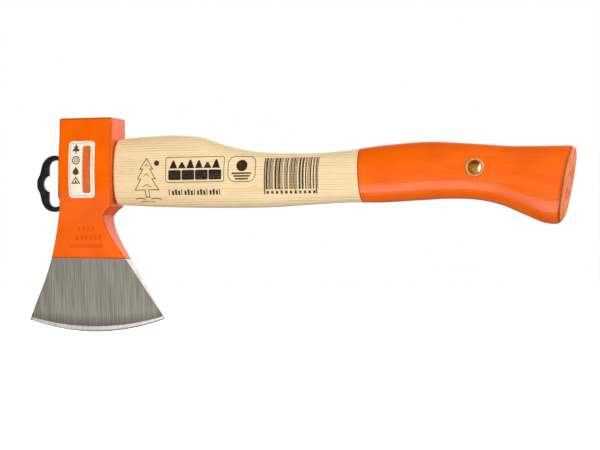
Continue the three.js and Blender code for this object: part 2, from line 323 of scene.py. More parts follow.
@dataclass(frozen=True)
class GroundSteel(Finish):
    """Tool steel ground bare on a coarse belt.

    The belt leaves lines up and down the blade. Real ones are about 0.1 mm apart; they are drawn
    0.6 mm wide, because finer ones would not show.
    """

    name: str = "tool_steel_belt_ground"
    colour: str = "#F6F0E2"
    streak: str = "#C9C1B0"
    dark: str = "#7C7569"
    line_mm: float = 0.6
    run_mm: float = 30.0
    dark_from_mm: float = 3.0
    dark_to_mm: float = 12.0
    roughness: Flat = (0.48, 0.6)

    def shader(self, tree: Tree, place: Socket) -> Node:
        """Adds the steel's nodes.

        Args:
            tree: The empty node tree.
            place: Coordinates in metres.

        Returns:
            The surface shader.
        """
        run = cells(self.line_mm, 4.0, self.run_mm)
        lines = add(tree, "TexNoise", inputs={
            "Vector": add(tree, "Mapping", inputs={0: place, "Scale": run}),
            "Scale": 1.0, "Detail": 2.5,
        })
        broad = add(tree, "TexNoise", inputs={
            "Vector": add(tree, "Mapping", inputs={0: place, "Scale": cells(5, 8, 60)}),
            "Scale": 1.0, "Detail": 1.0,
        })
        streaks = add(tree, "MapRange", inputs={0: lines, 1: 0.34, 2: 0.66})
        bare = add(tree, "Mix", COLOURS, {
            0: streaks, 6: linear(self.colour), 7: linear(self.streak),
        })
        bands = add(tree, "MapRange", inputs={0: broad, 1: 0.4, 2: 0.7, 3: 0.0, 4: 0.5})
        toned = add(tree, "Mix", COLOURS, {
            0: bands, 6: bare.outputs[2], 7: linear(self.streak),
        })
        depth = add(tree, "Attribute", {"attribute_name": "edge_mm"}).outputs["Fac"]
        near_edge = add(tree, "MapRange", inputs={
            0: depth, 1: self.dark_from_mm, 2: self.dark_to_mm, 3: 0.75, 4: 0.0,
        })
        colour = add(tree, "Mix", COLOURS, {
            0: near_edge, 6: toned.outputs[2], 7: linear(self.dark),
        })
        bump = add(tree, "Bump", inputs={
            "Height": lines, "Strength": 0.3, "Distance": 0.05 * MM,
        })
        gloss = add(tree, "MapRange", inputs={
            0: lines, 1: 0.3, 2: 0.7, 3: self.roughness[0], 4: self.roughness[1],
        })
        return add(tree, "BsdfPrincipled", inputs={
            "Base Color": colour.outputs[2], "Metallic": 1.0, "Roughness": gloss, "Normal": bump,
        })


@dataclass(frozen=True)
class FiledSteel(GroundSteel):
    """The blade's narrow sides, filed smooth: the same steel, much brighter and nearly even."""

    name: str = "tool_steel_filed_smooth"
    colour: str = "#E2DED6"
    streak: str = "#CDC8BE"
    dark: str = "#B8B3A8"
    roughness: Flat = (0.3, 0.42)


@dataclass(frozen=True)
class HonedSteel(Finish):
    """The cutting bevel, honed on a fine wheel.

    It is much brighter than the blade, with fine lines, and a painted dark reflection shows as a
    thin dark line along the very edge, stronger towards the heel.
    """

    name: str = "tool_steel_honed_bevel"
    colour: str = "#EDEAE3"
    streak: str = "#C8C3B9"
    # colour of the painted dark reflection along the very edge
    painted_edge_reflection: str = "#2E2A24"
    line_mm: float = 0.7

    def shader(self, tree: Tree, place: Socket) -> Node:
        """Adds the bevel's nodes.

        Args:
            tree: The empty node tree.
            place: Coordinates in metres.

        Returns:
            The surface shader.
        """
        run = cells(self.line_mm, 2.0, 9.0)
        lines = add(tree, "TexNoise", inputs={
            "Vector": add(tree, "Mapping", inputs={0: place, "Scale": run}),
            "Scale": 1.0,
        })
        streaks = add(tree, "MapRange", inputs={0: lines, 1: 0.45, 2: 0.75, 3: 0.0, 4: 0.8})
        bare = add(tree, "Mix", COLOURS, {
            0: streaks, 6: linear(self.colour), 7: linear(self.streak),
        })
        # Painted dark reflection along the very edge.
        painted_edge_reflection = add(tree, "Attribute", {"attribute_name": "painted_edge_reflection"}).outputs["Fac"]
        colour = add(tree, "Mix", COLOURS, {
            0: painted_edge_reflection, 6: bare.outputs[2], 7: linear(self.painted_edge_reflection),
        })
        gloss = add(tree, "MapRange", inputs={0: lines, 1: 0.3, 2: 0.7, 3: 0.26, 4: 0.38})
        return add(tree, "BsdfPrincipled", inputs={
            "Base Color": colour.outputs[2], "Metallic": 1.0, "Roughness": gloss,
        })


@dataclass(frozen=True)
class Ash(Finish):
    """Ash, turned on a copy lathe, sanded and sealed with thin clear lacquer.

    The yearly rings lie level, so each side shows fine straight lines along the handle, and the
    top and bottom show broad figure. Short dark pores run with the grain, and a painted shadow
    turns the wood brown where the shoulder meets the head.
    """

    name: str = "ash_sanded_clear_lacquered"
    early: str = "#F2D9AC"
    late: str = "#DDB985"
    pore: str = "#B08552"
    # colour of the painted shadow where the shoulder meets the head
    seat: str = "#8A5A2E"
    ring_mm: float = 1.75
    wander_mm: float = 4.5

    def grain(self, tree: Tree,
              place: Socket) -> tuple[Node, Node]:
        """Adds the ring lines and the pores.

        Args:
            tree: The material's node tree.
            place: The object's own coordinates in metres.

        Returns:
            Darkness of the ring lines and of the pores, each from 0 to 1.
        """
        slow = cells(190, 34, 42)
        bend = add(tree, "TexNoise", inputs={
            "Vector": add(tree, "Mapping", inputs={0: place, "Scale": slow}),
            "Scale": 1.0,
        })
        lift = add(tree, "Math", {"operation": "MULTIPLY"}, {
            0: bend, 1: self.wander_mm * MM,
        })
        height = add(tree, "Math", {"operation": "ADD"}, {
            0: add(tree, "SeparateXYZ", inputs={0: place}).outputs["Z"], 1: lift,
        })
        turns = add(tree, "Math", {"operation": "MULTIPLY"}, {
            0: height, 1: math.tau * PER_MM / self.ring_mm,
        })
        wave = add(tree, "Math", {"operation": "SINE"}, {0: turns})
        rings = add(tree, "MapRange", inputs={0: wave, 1: -0.1, 2: 1.0})
        streaky = add(tree, "TexNoise", inputs={
            "Vector": add(tree, "Mapping", inputs={0: place, "Scale": cells(46, 3, 1.7)}),
            "Scale": 1.0,
        })
        patchy = add(tree, "MapRange", inputs={0: streaky, 1: 0.34, 2: 0.62, 3: 0.2, 4: 1.0})
        shown = add(tree, "Math", {"operation": "MULTIPLY"}, {0: rings, 1: patchy})
        specks = add(tree, "TexNoise", inputs={
            "Vector": add(tree, "Mapping", inputs={0: place, "Scale": cells(9, 0.55, 0.5)}),
            "Scale": 1.0,
        })
        pores = add(tree, "MapRange", inputs={0: specks, 1: 0.6, 2: 0.74})
        return shown, pores

    def shader(self, tree: Tree, place: Socket) -> Node:
        """Adds the wood's nodes.

        Args:
            tree: The empty node tree.
            place: Coordinates in metres.

        Returns:
            The surface shader.
        """
        rings, pores = self.grain(tree, place)
        lined = add(tree, "Mix", COLOURS, {
            0: rings, 6: linear(self.early), 7: linear(self.late),
        })
        faded = add(tree, "Math", {"operation": "MULTIPLY"}, {0: pores, 1: 0.45})
        pored = add(tree, "Mix", COLOURS, {
            0: faded, 6: lined.outputs[2], 7: linear(self.pore),
        })
        cloud = add(tree, "TexNoise", inputs={
            "Vector": add(tree, "Mapping", inputs={0: place, "Scale": cells(120, 30, 12)}),
            "Scale": 1.0, "Detail": 1.0,
        })
        tone = add(tree, "MapRange", inputs={0: cloud, 1: 0.4, 2: 0.75, 3: 0.0, 4: 0.35})
        toned = add(tree, "Mix", COLOURS, {
            0: tone, 6: pored.outputs[2], 7: linear(self.late),
        })
        # Painted shadow: browner where the shoulder meets the head.
        seat = add(tree, "Attribute", {"attribute_name": "seat"}).outputs["Fac"]
        colour = add(tree, "Mix", COLOURS, {
            0: seat, 6: toned.outputs[2], 7: linear(self.seat),
        })
        height = add(tree, "Math", {"operation": "ADD"}, {0: rings, 1: pores})
        bump = add(tree, "Bump", {"invert": True}, {
            "Height": height, "Strength": 0.3, "Distance": 0.06 * MM,
        })
        return add(tree, "BsdfPrincipled", inputs={
            "Base Color": colour.outputs[2], "Roughness": 0.52, "IOR": 1.5, "Coat Weight": 0.2,
            "Coat Roughness": 0.3, "Normal": bump,
        })


@dataclass(frozen=True)
class DippedGrip(Ash):
    """Orange lacquer that the ash grip was dipped in.

    The coat is thick and glossy, so it mirrors a light as a long band, but the grain still
    telegraphs through it as fine lines.
    """

    name: str = "orange_lacquer_dipped_on_ash"
    early: str = "#F26500"
    late: str = "#E65B00"
    pore: str = "#80360A"
    ring_mm: float = 1.6

    def shader(self, tree: Tree, place: Socket) -> Node:
        """Adds the grip's nodes.

        Args:
            tree: The empty node tree.
            place: Coordinates in metres.

        Returns:
            The surface shader.
        """
        rings, pores = self.grain(tree, place)
        cloud = add(tree, "TexNoise", inputs={
            "Vector": add(tree, "Mapping", inputs={0: place, "Scale": cells(30, 14, 12)}),
            "Scale": 1.0, "Detail": 1.0,
        })
        tone = add(tree, "MapRange", inputs={0: cloud, 1: 0.35, 2: 0.7})
        coat = add(tree, "Mix", COLOURS, {
            0: tone, 6: linear(self.early), 7: linear(self.late),
        })
        past = add(tree, "Attribute", {"attribute_name": "dip_mm"}).outputs["Fac"]
        dipped = add(tree, "MapRange", inputs={0: past, 1: 0.45, 2: 1.1, 3: 0.8, 4: 0.0})
        rim = add(tree, "Attribute", {"attribute_name": "rim"}).outputs["Fac"]
        thin = add(tree, "Math", {"operation": "MAXIMUM"}, {0: dipped, 1: rim})
        colour = add(tree, "Mix", COLOURS, {
            0: thin, 6: coat.outputs[2], 7: linear(self.pore),
        })
        height = add(tree, "Math", {"operation": "ADD"}, {0: rings, 1: pores})
        bump = add(tree, "Bump", {"invert": True}, {
            "Height": height, "Strength": 0.7, "Distance": 0.1 * MM,
        })
        return add(tree, "BsdfPrincipled", inputs={
            "Base Color": colour.outputs[2], "Roughness": 0.16, "IOR": 1.5, "Coat Weight": 0.4,
            "Coat Roughness": 0.1, "Normal": bump,
        })


@dataclass(frozen=True)
class PaintedEndGrain(Finish):
    """Lacquer soaked into sawn end grain: paler, uneven, and full of small open pits."""

    name: str = "orange_lacquer_on_end_grain"
    colour: str = "#EC7030"
    pale: str = "#F6985E"
    pit: str = "#743210"
    pit_mm: float = 2.8

    def shader(self, tree: Tree, place: Socket) -> Node:
        """Adds the end grain's nodes.

        Args:
            tree: The empty node tree.
            place: Coordinates in metres.

        Returns:
            The surface shader.
        """
        size = cells(self.pit_mm, self.pit_mm * 0.8, self.pit_mm * 1.6)
        pits = add(tree, "TexNoise", inputs={
            "Vector": add(tree, "Mapping", inputs={0: place, "Scale": size}),
            "Scale": 1.0, "Detail": 2.0,
        })
        open_pits = add(tree, "MapRange", inputs={0: pits, 1: 0.56, 2: 0.76})
        cloud = add(tree, "TexNoise", inputs={
            "Vector": add(tree, "Mapping", inputs={0: place, "Scale": cells(6, 6, 9)}),
            "Scale": 1.0,
        })
        tone = add(tree, "MapRange", inputs={0: cloud, 1: 0.35, 2: 0.65})
        skin = add(tree, "Mix", COLOURS, {
            0: tone, 6: linear(self.colour), 7: linear(self.pale),
        })
        colour = add(tree, "Mix", COLOURS, {
            0: open_pits, 6: skin.outputs[2], 7: linear(self.pit),
        })
        bump = add(tree, "Bump", {"invert": True}, {
            "Height": open_pits, "Strength": 0.7, "Distance": 0.3 * MM,
        })
        return add(tree, "BsdfPrincipled", inputs={
            "Base Color": colour.outputs[2], "Roughness": 0.65, "IOR": 1.5,
            "Specular IOR Level": 0.25, "Normal": bump,
        })


@dataclass(frozen=True)
class WedgeWood(Ash):
    """Beech, sawn and driven in raw: darker than the handle, with close rings and no lacquer."""

    name: str = "beech_sawn_raw"
    early: str = "#CFA26C"
    late: str = "#B3824C"
    pore: str = "#7C5630"
    ring_mm: float = 1.2


@dataclass(frozen=True)
class PlainSteel(Finish):
    """Turned or drawn steel: dull grey metal with fine lines round or along it."""

    name: str = "mild_steel_turned"
    colour: str = "#A9A8A2"
    streak: str = "#7F7D77"
    cell_mm: tuple[float, float, float] = (0.3, 2.5, 2.5)
    roughness: Flat = (0.34, 0.5)
    metallic: float = 1.0
    grazing: str = "#FFFFFF"  # what it mirrors at a low angle is tinted with this

    def shader(self, tree: Tree, place: Socket) -> Node:
        """Adds the metal's nodes.

        Args:
            tree: The empty node tree.
            place: Coordinates in metres.

        Returns:
            The surface shader.
        """
        run = cells(*self.cell_mm)
        lines = add(tree, "TexNoise", inputs={
            "Vector": add(tree, "Mapping", inputs={0: place, "Scale": run}),
            "Scale": 1.0,
        })
        streaks = add(tree, "MapRange", inputs={0: lines, 1: 0.38, 2: 0.68})
        colour = add(tree, "Mix", COLOURS, {
            0: streaks, 6: linear(self.colour), 7: linear(self.streak),
        })
        bump = add(tree, "Bump", inputs={
            "Height": lines, "Strength": 0.25, "Distance": 0.03 * MM,
        })
        gloss = add(tree, "MapRange", inputs={
            0: lines, 1: 0.3, 2: 0.7, 3: self.roughness[0], 4: self.roughness[1],
        })
        return add(tree, "BsdfPrincipled", inputs={
            "Base Color": colour.outputs[2], "Metallic": self.metallic, "Roughness": gloss,
            "Specular Tint": linear(self.grazing), "Normal": bump,
        })


@dataclass(frozen=True)
class ZincPlate(PlainSteel):
    """Bright zinc plate on the screws: paler than bare steel, with faint cloudy patches."""

    name: str = "steel_zinc_plated"
    colour: str = "#CBCCC8"
    streak: str = "#A5A7A4"
    cell_mm: tuple[float, float, float] = (1.3, 1.3, 1.3)
    roughness: Flat = (0.24, 0.4)


@dataclass(frozen=True)
class DullBrass(PlainSteel):
    """Rolled brass, polished by handling: warm gold with soft cloudy patches."""

    name: str = "brass_rolled_worn"
    colour: str = "#F4B06A"
    streak: str = "#D98C48"
    cell_mm: tuple[float, float, float] = (2.2, 2.2, 2.2)
    roughness: Flat = (0.36, 0.5)
    metallic: float = 0.5


@dataclass(frozen=True)
class ShadedBoreBrass(PlainSteel):
    """The same brass inside the tube, coloured darker and browner as painted shade in the bore."""

    name: str = "brass_bore_painted_shade"
    colour: str = "#CC9450"
    streak: str = "#A87238"
    cell_mm: tuple[float, float, float] = (1.6, 2.6, 1.6)
    roughness: Flat = (0.3, 0.42)
    grazing: str = "#E4B880"


@dataclass(frozen=True)
class MouldedPlastic(Finish):
    """Black polypropylene, injection moulded in a spark-eroded tool: even, fine, satin grain."""

    name: str = "polypropylene_black_moulded"
    colour: str = "#191918"
    pale: str = "#272624"
    grain_mm: float = 0.45

    def shader(self, tree: Tree, place: Socket) -> Node:
        """Adds the plastic's nodes.

        Args:
            tree: The empty node tree.
            place: Coordinates in metres.

        Returns:
            The surface shader.
        """
        grain = add(tree, "TexNoise", inputs={
            "Vector": place, "Scale": PER_MM / self.grain_mm,
        })
        cloud = add(tree, "TexNoise", inputs={"Vector": place, "Scale": PER_MM / 5})
        tone = add(tree, "MapRange", inputs={0: cloud, 1: 0.4, 2: 0.75})
        colour = add(tree, "Mix", COLOURS, {
            0: tone, 6: linear(self.colour), 7: linear(self.pale),
        })
        bump = add(tree, "Bump", inputs={
            "Height": grain, "Strength": 0.25, "Distance": 0.05 * MM,
        })
        gloss = add(tree, "MapRange", inputs={0: grain, 1: 0.3, 2: 0.7, 3: 0.34, 4: 0.48})
        return add(tree, "BsdfPrincipled", inputs={
            "Base Color": colour.outputs[2], "Roughness": gloss, "IOR": 1.49, "Normal": bump,
        })


@dataclass(frozen=True)
class Ink(Finish):
    """Ink laid down in one pass: an even colour that thins to specks where the ground is low."""

    name: str = "ink_black_pad_printed"
    colour: str = "#1D1710"
    thin: str = "#5A4A34"
    speck_mm: tuple[float, float, float] = (2.6, 0.6, 0.6)
    roughness: float = 0.5

    def shader(self, tree: Tree, place: Socket) -> Node:
        """Adds the ink's nodes.

        Args:
            tree: The empty node tree.
            place: Coordinates in metres.

        Returns:
            The surface shader.
        """
        size = cells(*self.speck_mm)
        specks = add(tree, "TexNoise", inputs={
            "Vector": add(tree, "Mapping", inputs={0: place, "Scale": size}),
            "Scale": 1.0, "Detail": 3.0,
        })
        worn = add(tree, "MapRange", inputs={0: specks, 1: 0.52, 2: 0.72})
        colour = add(tree, "Mix", COLOURS, {
            0: worn, 6: linear(self.colour), 7: linear(self.thin),
        })
        return add(tree, "BsdfPrincipled", inputs={
            "Base Color": colour.outputs[2], "Roughness": self.roughness, "IOR": 1.5,
        })


@dataclass(frozen=True)
class Film(Ink):
    """White polyester label film, screen printed and overlaminated: smooth, satin, a bit warm."""

    name: str = "label_film_white"
    colour: str = "#FCF9F1"
    thin: str = "#F1EADB"
    speck_mm: tuple[float, float, float] = (4.0, 4.0, 4.0)
    roughness: float = 0.32


@dataclass(frozen=True)
class StudioFloor(Finish):
    """A pale, matt acrylic table lit from under."""

    name: str = "acrylic_pale_matt_backlit"
    colour: str = "#F4F3F1"
    glow: float = 0.8

    def shader(self, tree: Tree, place: Socket) -> Node:
        """Adds the floor's nodes.

        Args:
            tree: The empty node tree.
            place: Coordinates in metres.

        Returns:
            The surface shader.
        """
        cloud = add(tree, "TexNoise", inputs={"Vector": place, "Scale": 3.0})
        haze = add(tree, "MapRange", inputs={0: cloud, 1: 0.3, 2: 0.7, 3: 0.75, 4: 0.85})
        return add(tree, "BsdfPrincipled", inputs={
            "Base Color": linear(self.colour), "Roughness": haze, "Specular IOR Level": 0.1,
            "Emission Color": (1.0, 1.0, 1.0, 1.0), "Emission Strength": self.glow,
        })


# ---- Tools ----


@dataclass(frozen=True)
class SmoothLine:
    """A value that follows a few [place, value] points smoothly."""

    points: tuple[Flat, ...]

    def slope(self, i: int) -> float:
        """The slope at point i, from its neighbours.

        Args:
            i: The point's number.

        Returns:
            The slope.
        """
        before, after = max(i - 1, 0), min(i + 1, len(self.points) - 1)
        (x0, y0), (x1, y1) = self.points[before], self.points[after]
        return (y1 - y0) / (x1 - x0)

    def at(self, x: float) -> float:
        """The value at x, held level beyond the last points.

        Args:
            x: The place.

        Returns:
            The value there.
        """
        places = [place for place, _ in self.points]
        if x <= places[0]:
            return self.points[0][1]
        if x >= places[-1]:
            return self.points[-1][1]
        i = bisect_right(places, x) - 1
        (x0, y0), (x1, y1) = self.points[i], self.points[i + 1]
        span = x1 - x0
        t = (x - x0) / span
        rest = 1 - t
        return (
            y0 * (1 + 2 * t) * rest * rest + self.slope(i) * span * t * rest * rest
            + y1 * (3 - 2 * t) * t * t - self.slope(i + 1) * span * t * t * rest
        )


def smoothstep(low: float, high: float, x: float) -> float:
    """0 below low, 1 above high, and an S-curve between."""
    t = min(max((x - low) / (high - low), 0.0), 1.0)
    return t * t * (3 - 2 * t)


def signed_power(value: float, power: float) -> float:
    """A power that keeps the sign, for ovals squarer than an ellipse."""
    return math.copysign(abs(value) ** power, value)


def curve(start: Flat, first: Flat, second: Flat, end: Flat, count: int = 10) -> list[Flat]:
    """Points along a cubic curve, without its start.

    Args:
        start: Where it starts.
        first: Its first control point.
        second: Its second control point.
        end: Where it ends.
        count: How many points.

    Returns:
        The points after the start, the end included.
    """
    knots = [Vector((*point, 0.0)) for point in (start, first, second, end)]
    return [(p.x, p.y) for p in interpolate_bezier(*knots, count + 1)[1:]]


def bend(start: Flat, control: Flat, end: Flat, count: int = 14) -> list[Flat]:
    """Points along a curve with one control point, without its start.

    Args:
        start: Where it starts.
        control: Its control point.
        end: Where it ends.
        count: How many points.

    Returns:
        The points after the start, the end included.
    """
    first = tuple(a + (b - a) * 2 / 3 for a, b in zip(start, control))
    second = tuple(a + (b - a) * 2 / 3 for a, b in zip(end, control))
    return curve(start, first, second, end, count)


def rounded(centre: Flat, half: Flat, corner: float, steps: int = 6) -> list[Flat]:
    """Points round a rectangle with round corners.

    Args:
        centre: Its middle.
        half: Half its width and height.
        corner: Radius of its corners.
        steps: Steps in each corner.

    Returns:
        The points, anticlockwise.
    """
    points = []
    for quarter, (u, v) in enumerate(((1, 1), (-1, 1), (-1, -1), (1, -1))):
        for step in range(steps + 1):
            angle = math.radians(90 * (quarter + step / steps))
            point = (centre[0] + u * (half[0] - corner) + corner * math.cos(angle),
                     centre[1] + v * (half[1] - corner) + corner * math.sin(angle))
            if not points or math.dist(points[-1], point) > 0.01:
                points.append(point)
    if math.dist(points[0], points[-1]) < 0.01:
        points.pop()
    return points


def outward(bm: Shape) -> Shape:
    """Turns the faces of a closed shape outwards and returns the shape.

    Args:
        bm: The shape.

    Returns:
        The same shape.
    """
    bmesh.ops.recalc_face_normals(bm, faces=bm.faces)
    if bm.calc_volume(signed=True) < 0:
        bmesh.ops.reverse_faces(bm, faces=bm.faces)
    for face in bm.faces:
        face.normal_update()
    return bm


def draw_out(bm: Shape) -> set[bmesh.types.BMVert]:
    """Gives a sheet a second side, joined to it all round.

    Args:
        bm: The sheet.

    Returns:
        The vertices of the second side, which still lie on the first.
    """
    drawn = bmesh.ops.extrude_face_region(bm, geom=bm.faces[:])["geom"]
    return {v for v in drawn if isinstance(v, bmesh.types.BMVert)}


def bar(rows: int, sides: int, place: Callable[[int, float], Vector]) -> Shape:
    """Makes a closed bar from a capped cylinder cut into rows.

    Args:
        rows: How many rows of vertices.
        sides: How many vertices in a row.
        place: Where the vertex at a row and a turn (radians) goes.

    Returns:
        The bar.
    """
    bm = bmesh.new()
    bmesh.ops.create_cone(bm, cap_ends=True, cap_tris=False, segments=sides, radius1=1, radius2=1,
                          depth=2)
    lengthwise = [e for e in bm.edges if abs(e.verts[0].co.z - e.verts[1].co.z) > 1]
    bmesh.ops.subdivide_edges(bm, edges=lengthwise, cuts=rows - 2)
    for vertex in bm.verts:
        row = round((vertex.co.z + 1) / 2 * (rows - 1))
        vertex.co = place(row, math.atan2(vertex.co.y, vertex.co.x))
    return outward(bm)


def turned(profile: Sequence[Flat], axis: Axis, centre: Vector, steps: int = 64,
           closed: bool = False) -> Shape:
    """Turns a profile round a line.

    Args:
        profile: Points of [radius, place along the line].
        axis: The line's direction.
        centre: A point on the line, where the profile's place 0 lies.
        steps: Steps in the full turn.
        closed: Whether the profile is a closed loop, or else starts and ends on the line.

    Returns:
        The turned body.
    """
    bm = bmesh.new()
    along = Vector(axis.value)
    out = Vector(Axis.Z.value) if axis is not Axis.Z else Vector(Axis.X.value)
    points = [bm.verts.new(centre + out * radius + along * place) for radius, place in profile]
    pairs = list(zip(points, points[1:])) + ([(points[-1], points[0])] if closed else [])
    edges = [bm.edges.new(pair) for pair in pairs]
    bmesh.ops.spin(bm, geom=points + edges, cent=centre, axis=along, dvec=(0, 0, 0),
                   angle=math.tau, steps=steps, use_merge=True, use_duplicate=False)
    bmesh.ops.remove_doubles(bm, verts=bm.verts, dist=1e-4)
    return outward(bm)


def block(low: Sequence[float], high: Sequence[float]) -> Shape:
    """A box between two corners, as a tool to cut with.

    Args:
        low: Its lowest corner.
        high: Its highest corner.

    Returns:
        The box.
    """
    bm = bmesh.new()
    bmesh.ops.create_cube(bm, size=1)
    size = Vector(high) - Vector(low)
    bmesh.ops.transform(bm, verts=bm.verts, matrix=(
        Matrix.Translation((Vector(low) + Vector(high)) / 2) @ Matrix.Diagonal((*size, 1.0))
    ))
    return bm


@dataclass(frozen=True)
class Datum:
    """Where the hatchet's own measurements lie in the shared frame."""

    eye_top_x: float

    @property
    def matrix(self) -> Matrix:
        """Turns the hatchet's millimetres into the frame's metres."""
        return Matrix.Translation((self.eye_top_x, 0, 0)) @ Matrix.Scale(MM, 4)


@dataclass(frozen=True)
class Tooling:
    """A body to cut from a piece, or to weld to it."""

    shape: Shape
    joining: Joining = Joining.CUT
    finish: int = 0


@dataclass
class Bench:
    """Turns finished bmeshes into the hatchet's named pieces, all riding on its one body."""

    datum: Datum
    made: list[bpy.types.Object] = field(default_factory=list)

    def rough(self, name: str, bm: Shape,
              finishes: Sequence[Finish]) -> bpy.types.Object:
        """Makes an object from a bmesh, still in the hatchet's millimetres.

        Args:
            name: The object's name.
            bm: Its shape, freed here.
            finishes: The finishes its faces refer to.

        Returns:
            The object.
        """
        mesh = bpy.data.meshes.new(name)
        bm.to_mesh(mesh)
        bm.free()
        made = bpy.data.objects.new(name, mesh)
        bpy.context.scene.collection.objects.link(made)
        for finish in finishes:
            mesh.materials.append(finish.material())
        return made

    def work(self, body: bpy.types.Object, tools: Sequence[Tooling],
             finishes: Sequence[Finish]) -> None:
        """Cuts and welds tools into a body for good, one after another.

        Args:
            body: The object to change.
            tools: What to cut or weld.
            finishes: The finishes of the body, which the cut faces refer to.
        """
        for tool in tools:
            for face in tool.shape.faces:
                face.material_index = tool.finish
            helper = self.rough(f"{body.name}_tool", tool.shape, finishes)
            modifier = body.modifiers.new("work", "BOOLEAN")
            modifier.operation = tool.joining.value
            modifier.solver = "MANIFOLD"
            modifier.object = helper
            graph = bpy.context.evaluated_depsgraph_get()
            worked = bpy.data.meshes.new_from_object(body.evaluated_get(graph))
            body.modifiers.clear()
            old, body.data = body.data, worked
            bpy.data.meshes.remove(old)
            spare = helper.data
            bpy.data.objects.remove(helper)
            bpy.data.meshes.remove(spare)

    def finish(self, name: str, bm: Shape, finishes: Sequence[Finish], slot: Slot,
               replaces: str | None = None, tools: Sequence[Tooling] = (),
               crease: float = 32.0,
               marks: Mapping[str, Mark] | None = None) -> bpy.types.Object:
        """Makes one finished piece and registers it with the frame.

        Args:
            name: The piece's name.
            bm: Its shape, freed here.
            finishes: The finishes its faces refer to.
            slot: The record's material slot; not used.
            replaces: The CAD node that it stands for, if any.
            tools: What is cut from it or welded to it.
            crease: Edges sharper than this many degrees stay hard.
            marks: Values for its finishes to read, each worked out from a point of the piece.

        Returns:
            The piece.
        """
        piece = self.rough(name, bm, finishes)
        self.work(piece, tools, finishes)
        shape = bmesh.new()
        shape.from_mesh(piece.data)
        bmesh.ops.remove_doubles(shape, verts=shape.verts, dist=1e-4)
        for face in shape.faces:
            face.smooth = True
        for edge in shape.edges:
            if len(edge.link_faces) == 2:
                edge.smooth = edge.calc_face_angle() < math.radians(crease)
        for mark, value_at in (marks or {}).items():
            layer = shape.verts.layers.float.new(mark)
            for vertex in shape.verts:
                vertex[layer] = value_at(vertex.co)
        bmesh.ops.transform(shape, matrix=self.datum.matrix, verts=shape.verts)
        loose = sum(1 for edge in shape.edges if len(edge.link_faces) != 2)
        volume = shape.calc_volume(signed=True) / MM ** 3
        shape.to_mesh(piece.data)
        shape.free()
        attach(piece, BODY)
        if replaces:
            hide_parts(replaces)
        self.made.append(piece)
        log.info("%s: %d faces, %d open edges, %.1f mm3", name, len(piece.data.polygons), loose,
                 volume)
        return piece


# ---- Head ----


@dataclass(frozen=True)
class Row:
    """One row of the head's cheek, from the front outline to the back one."""

    height: Height
    round_over: float = 90.0  # degrees: 90 on the cheek, 0 on the flat of the poll


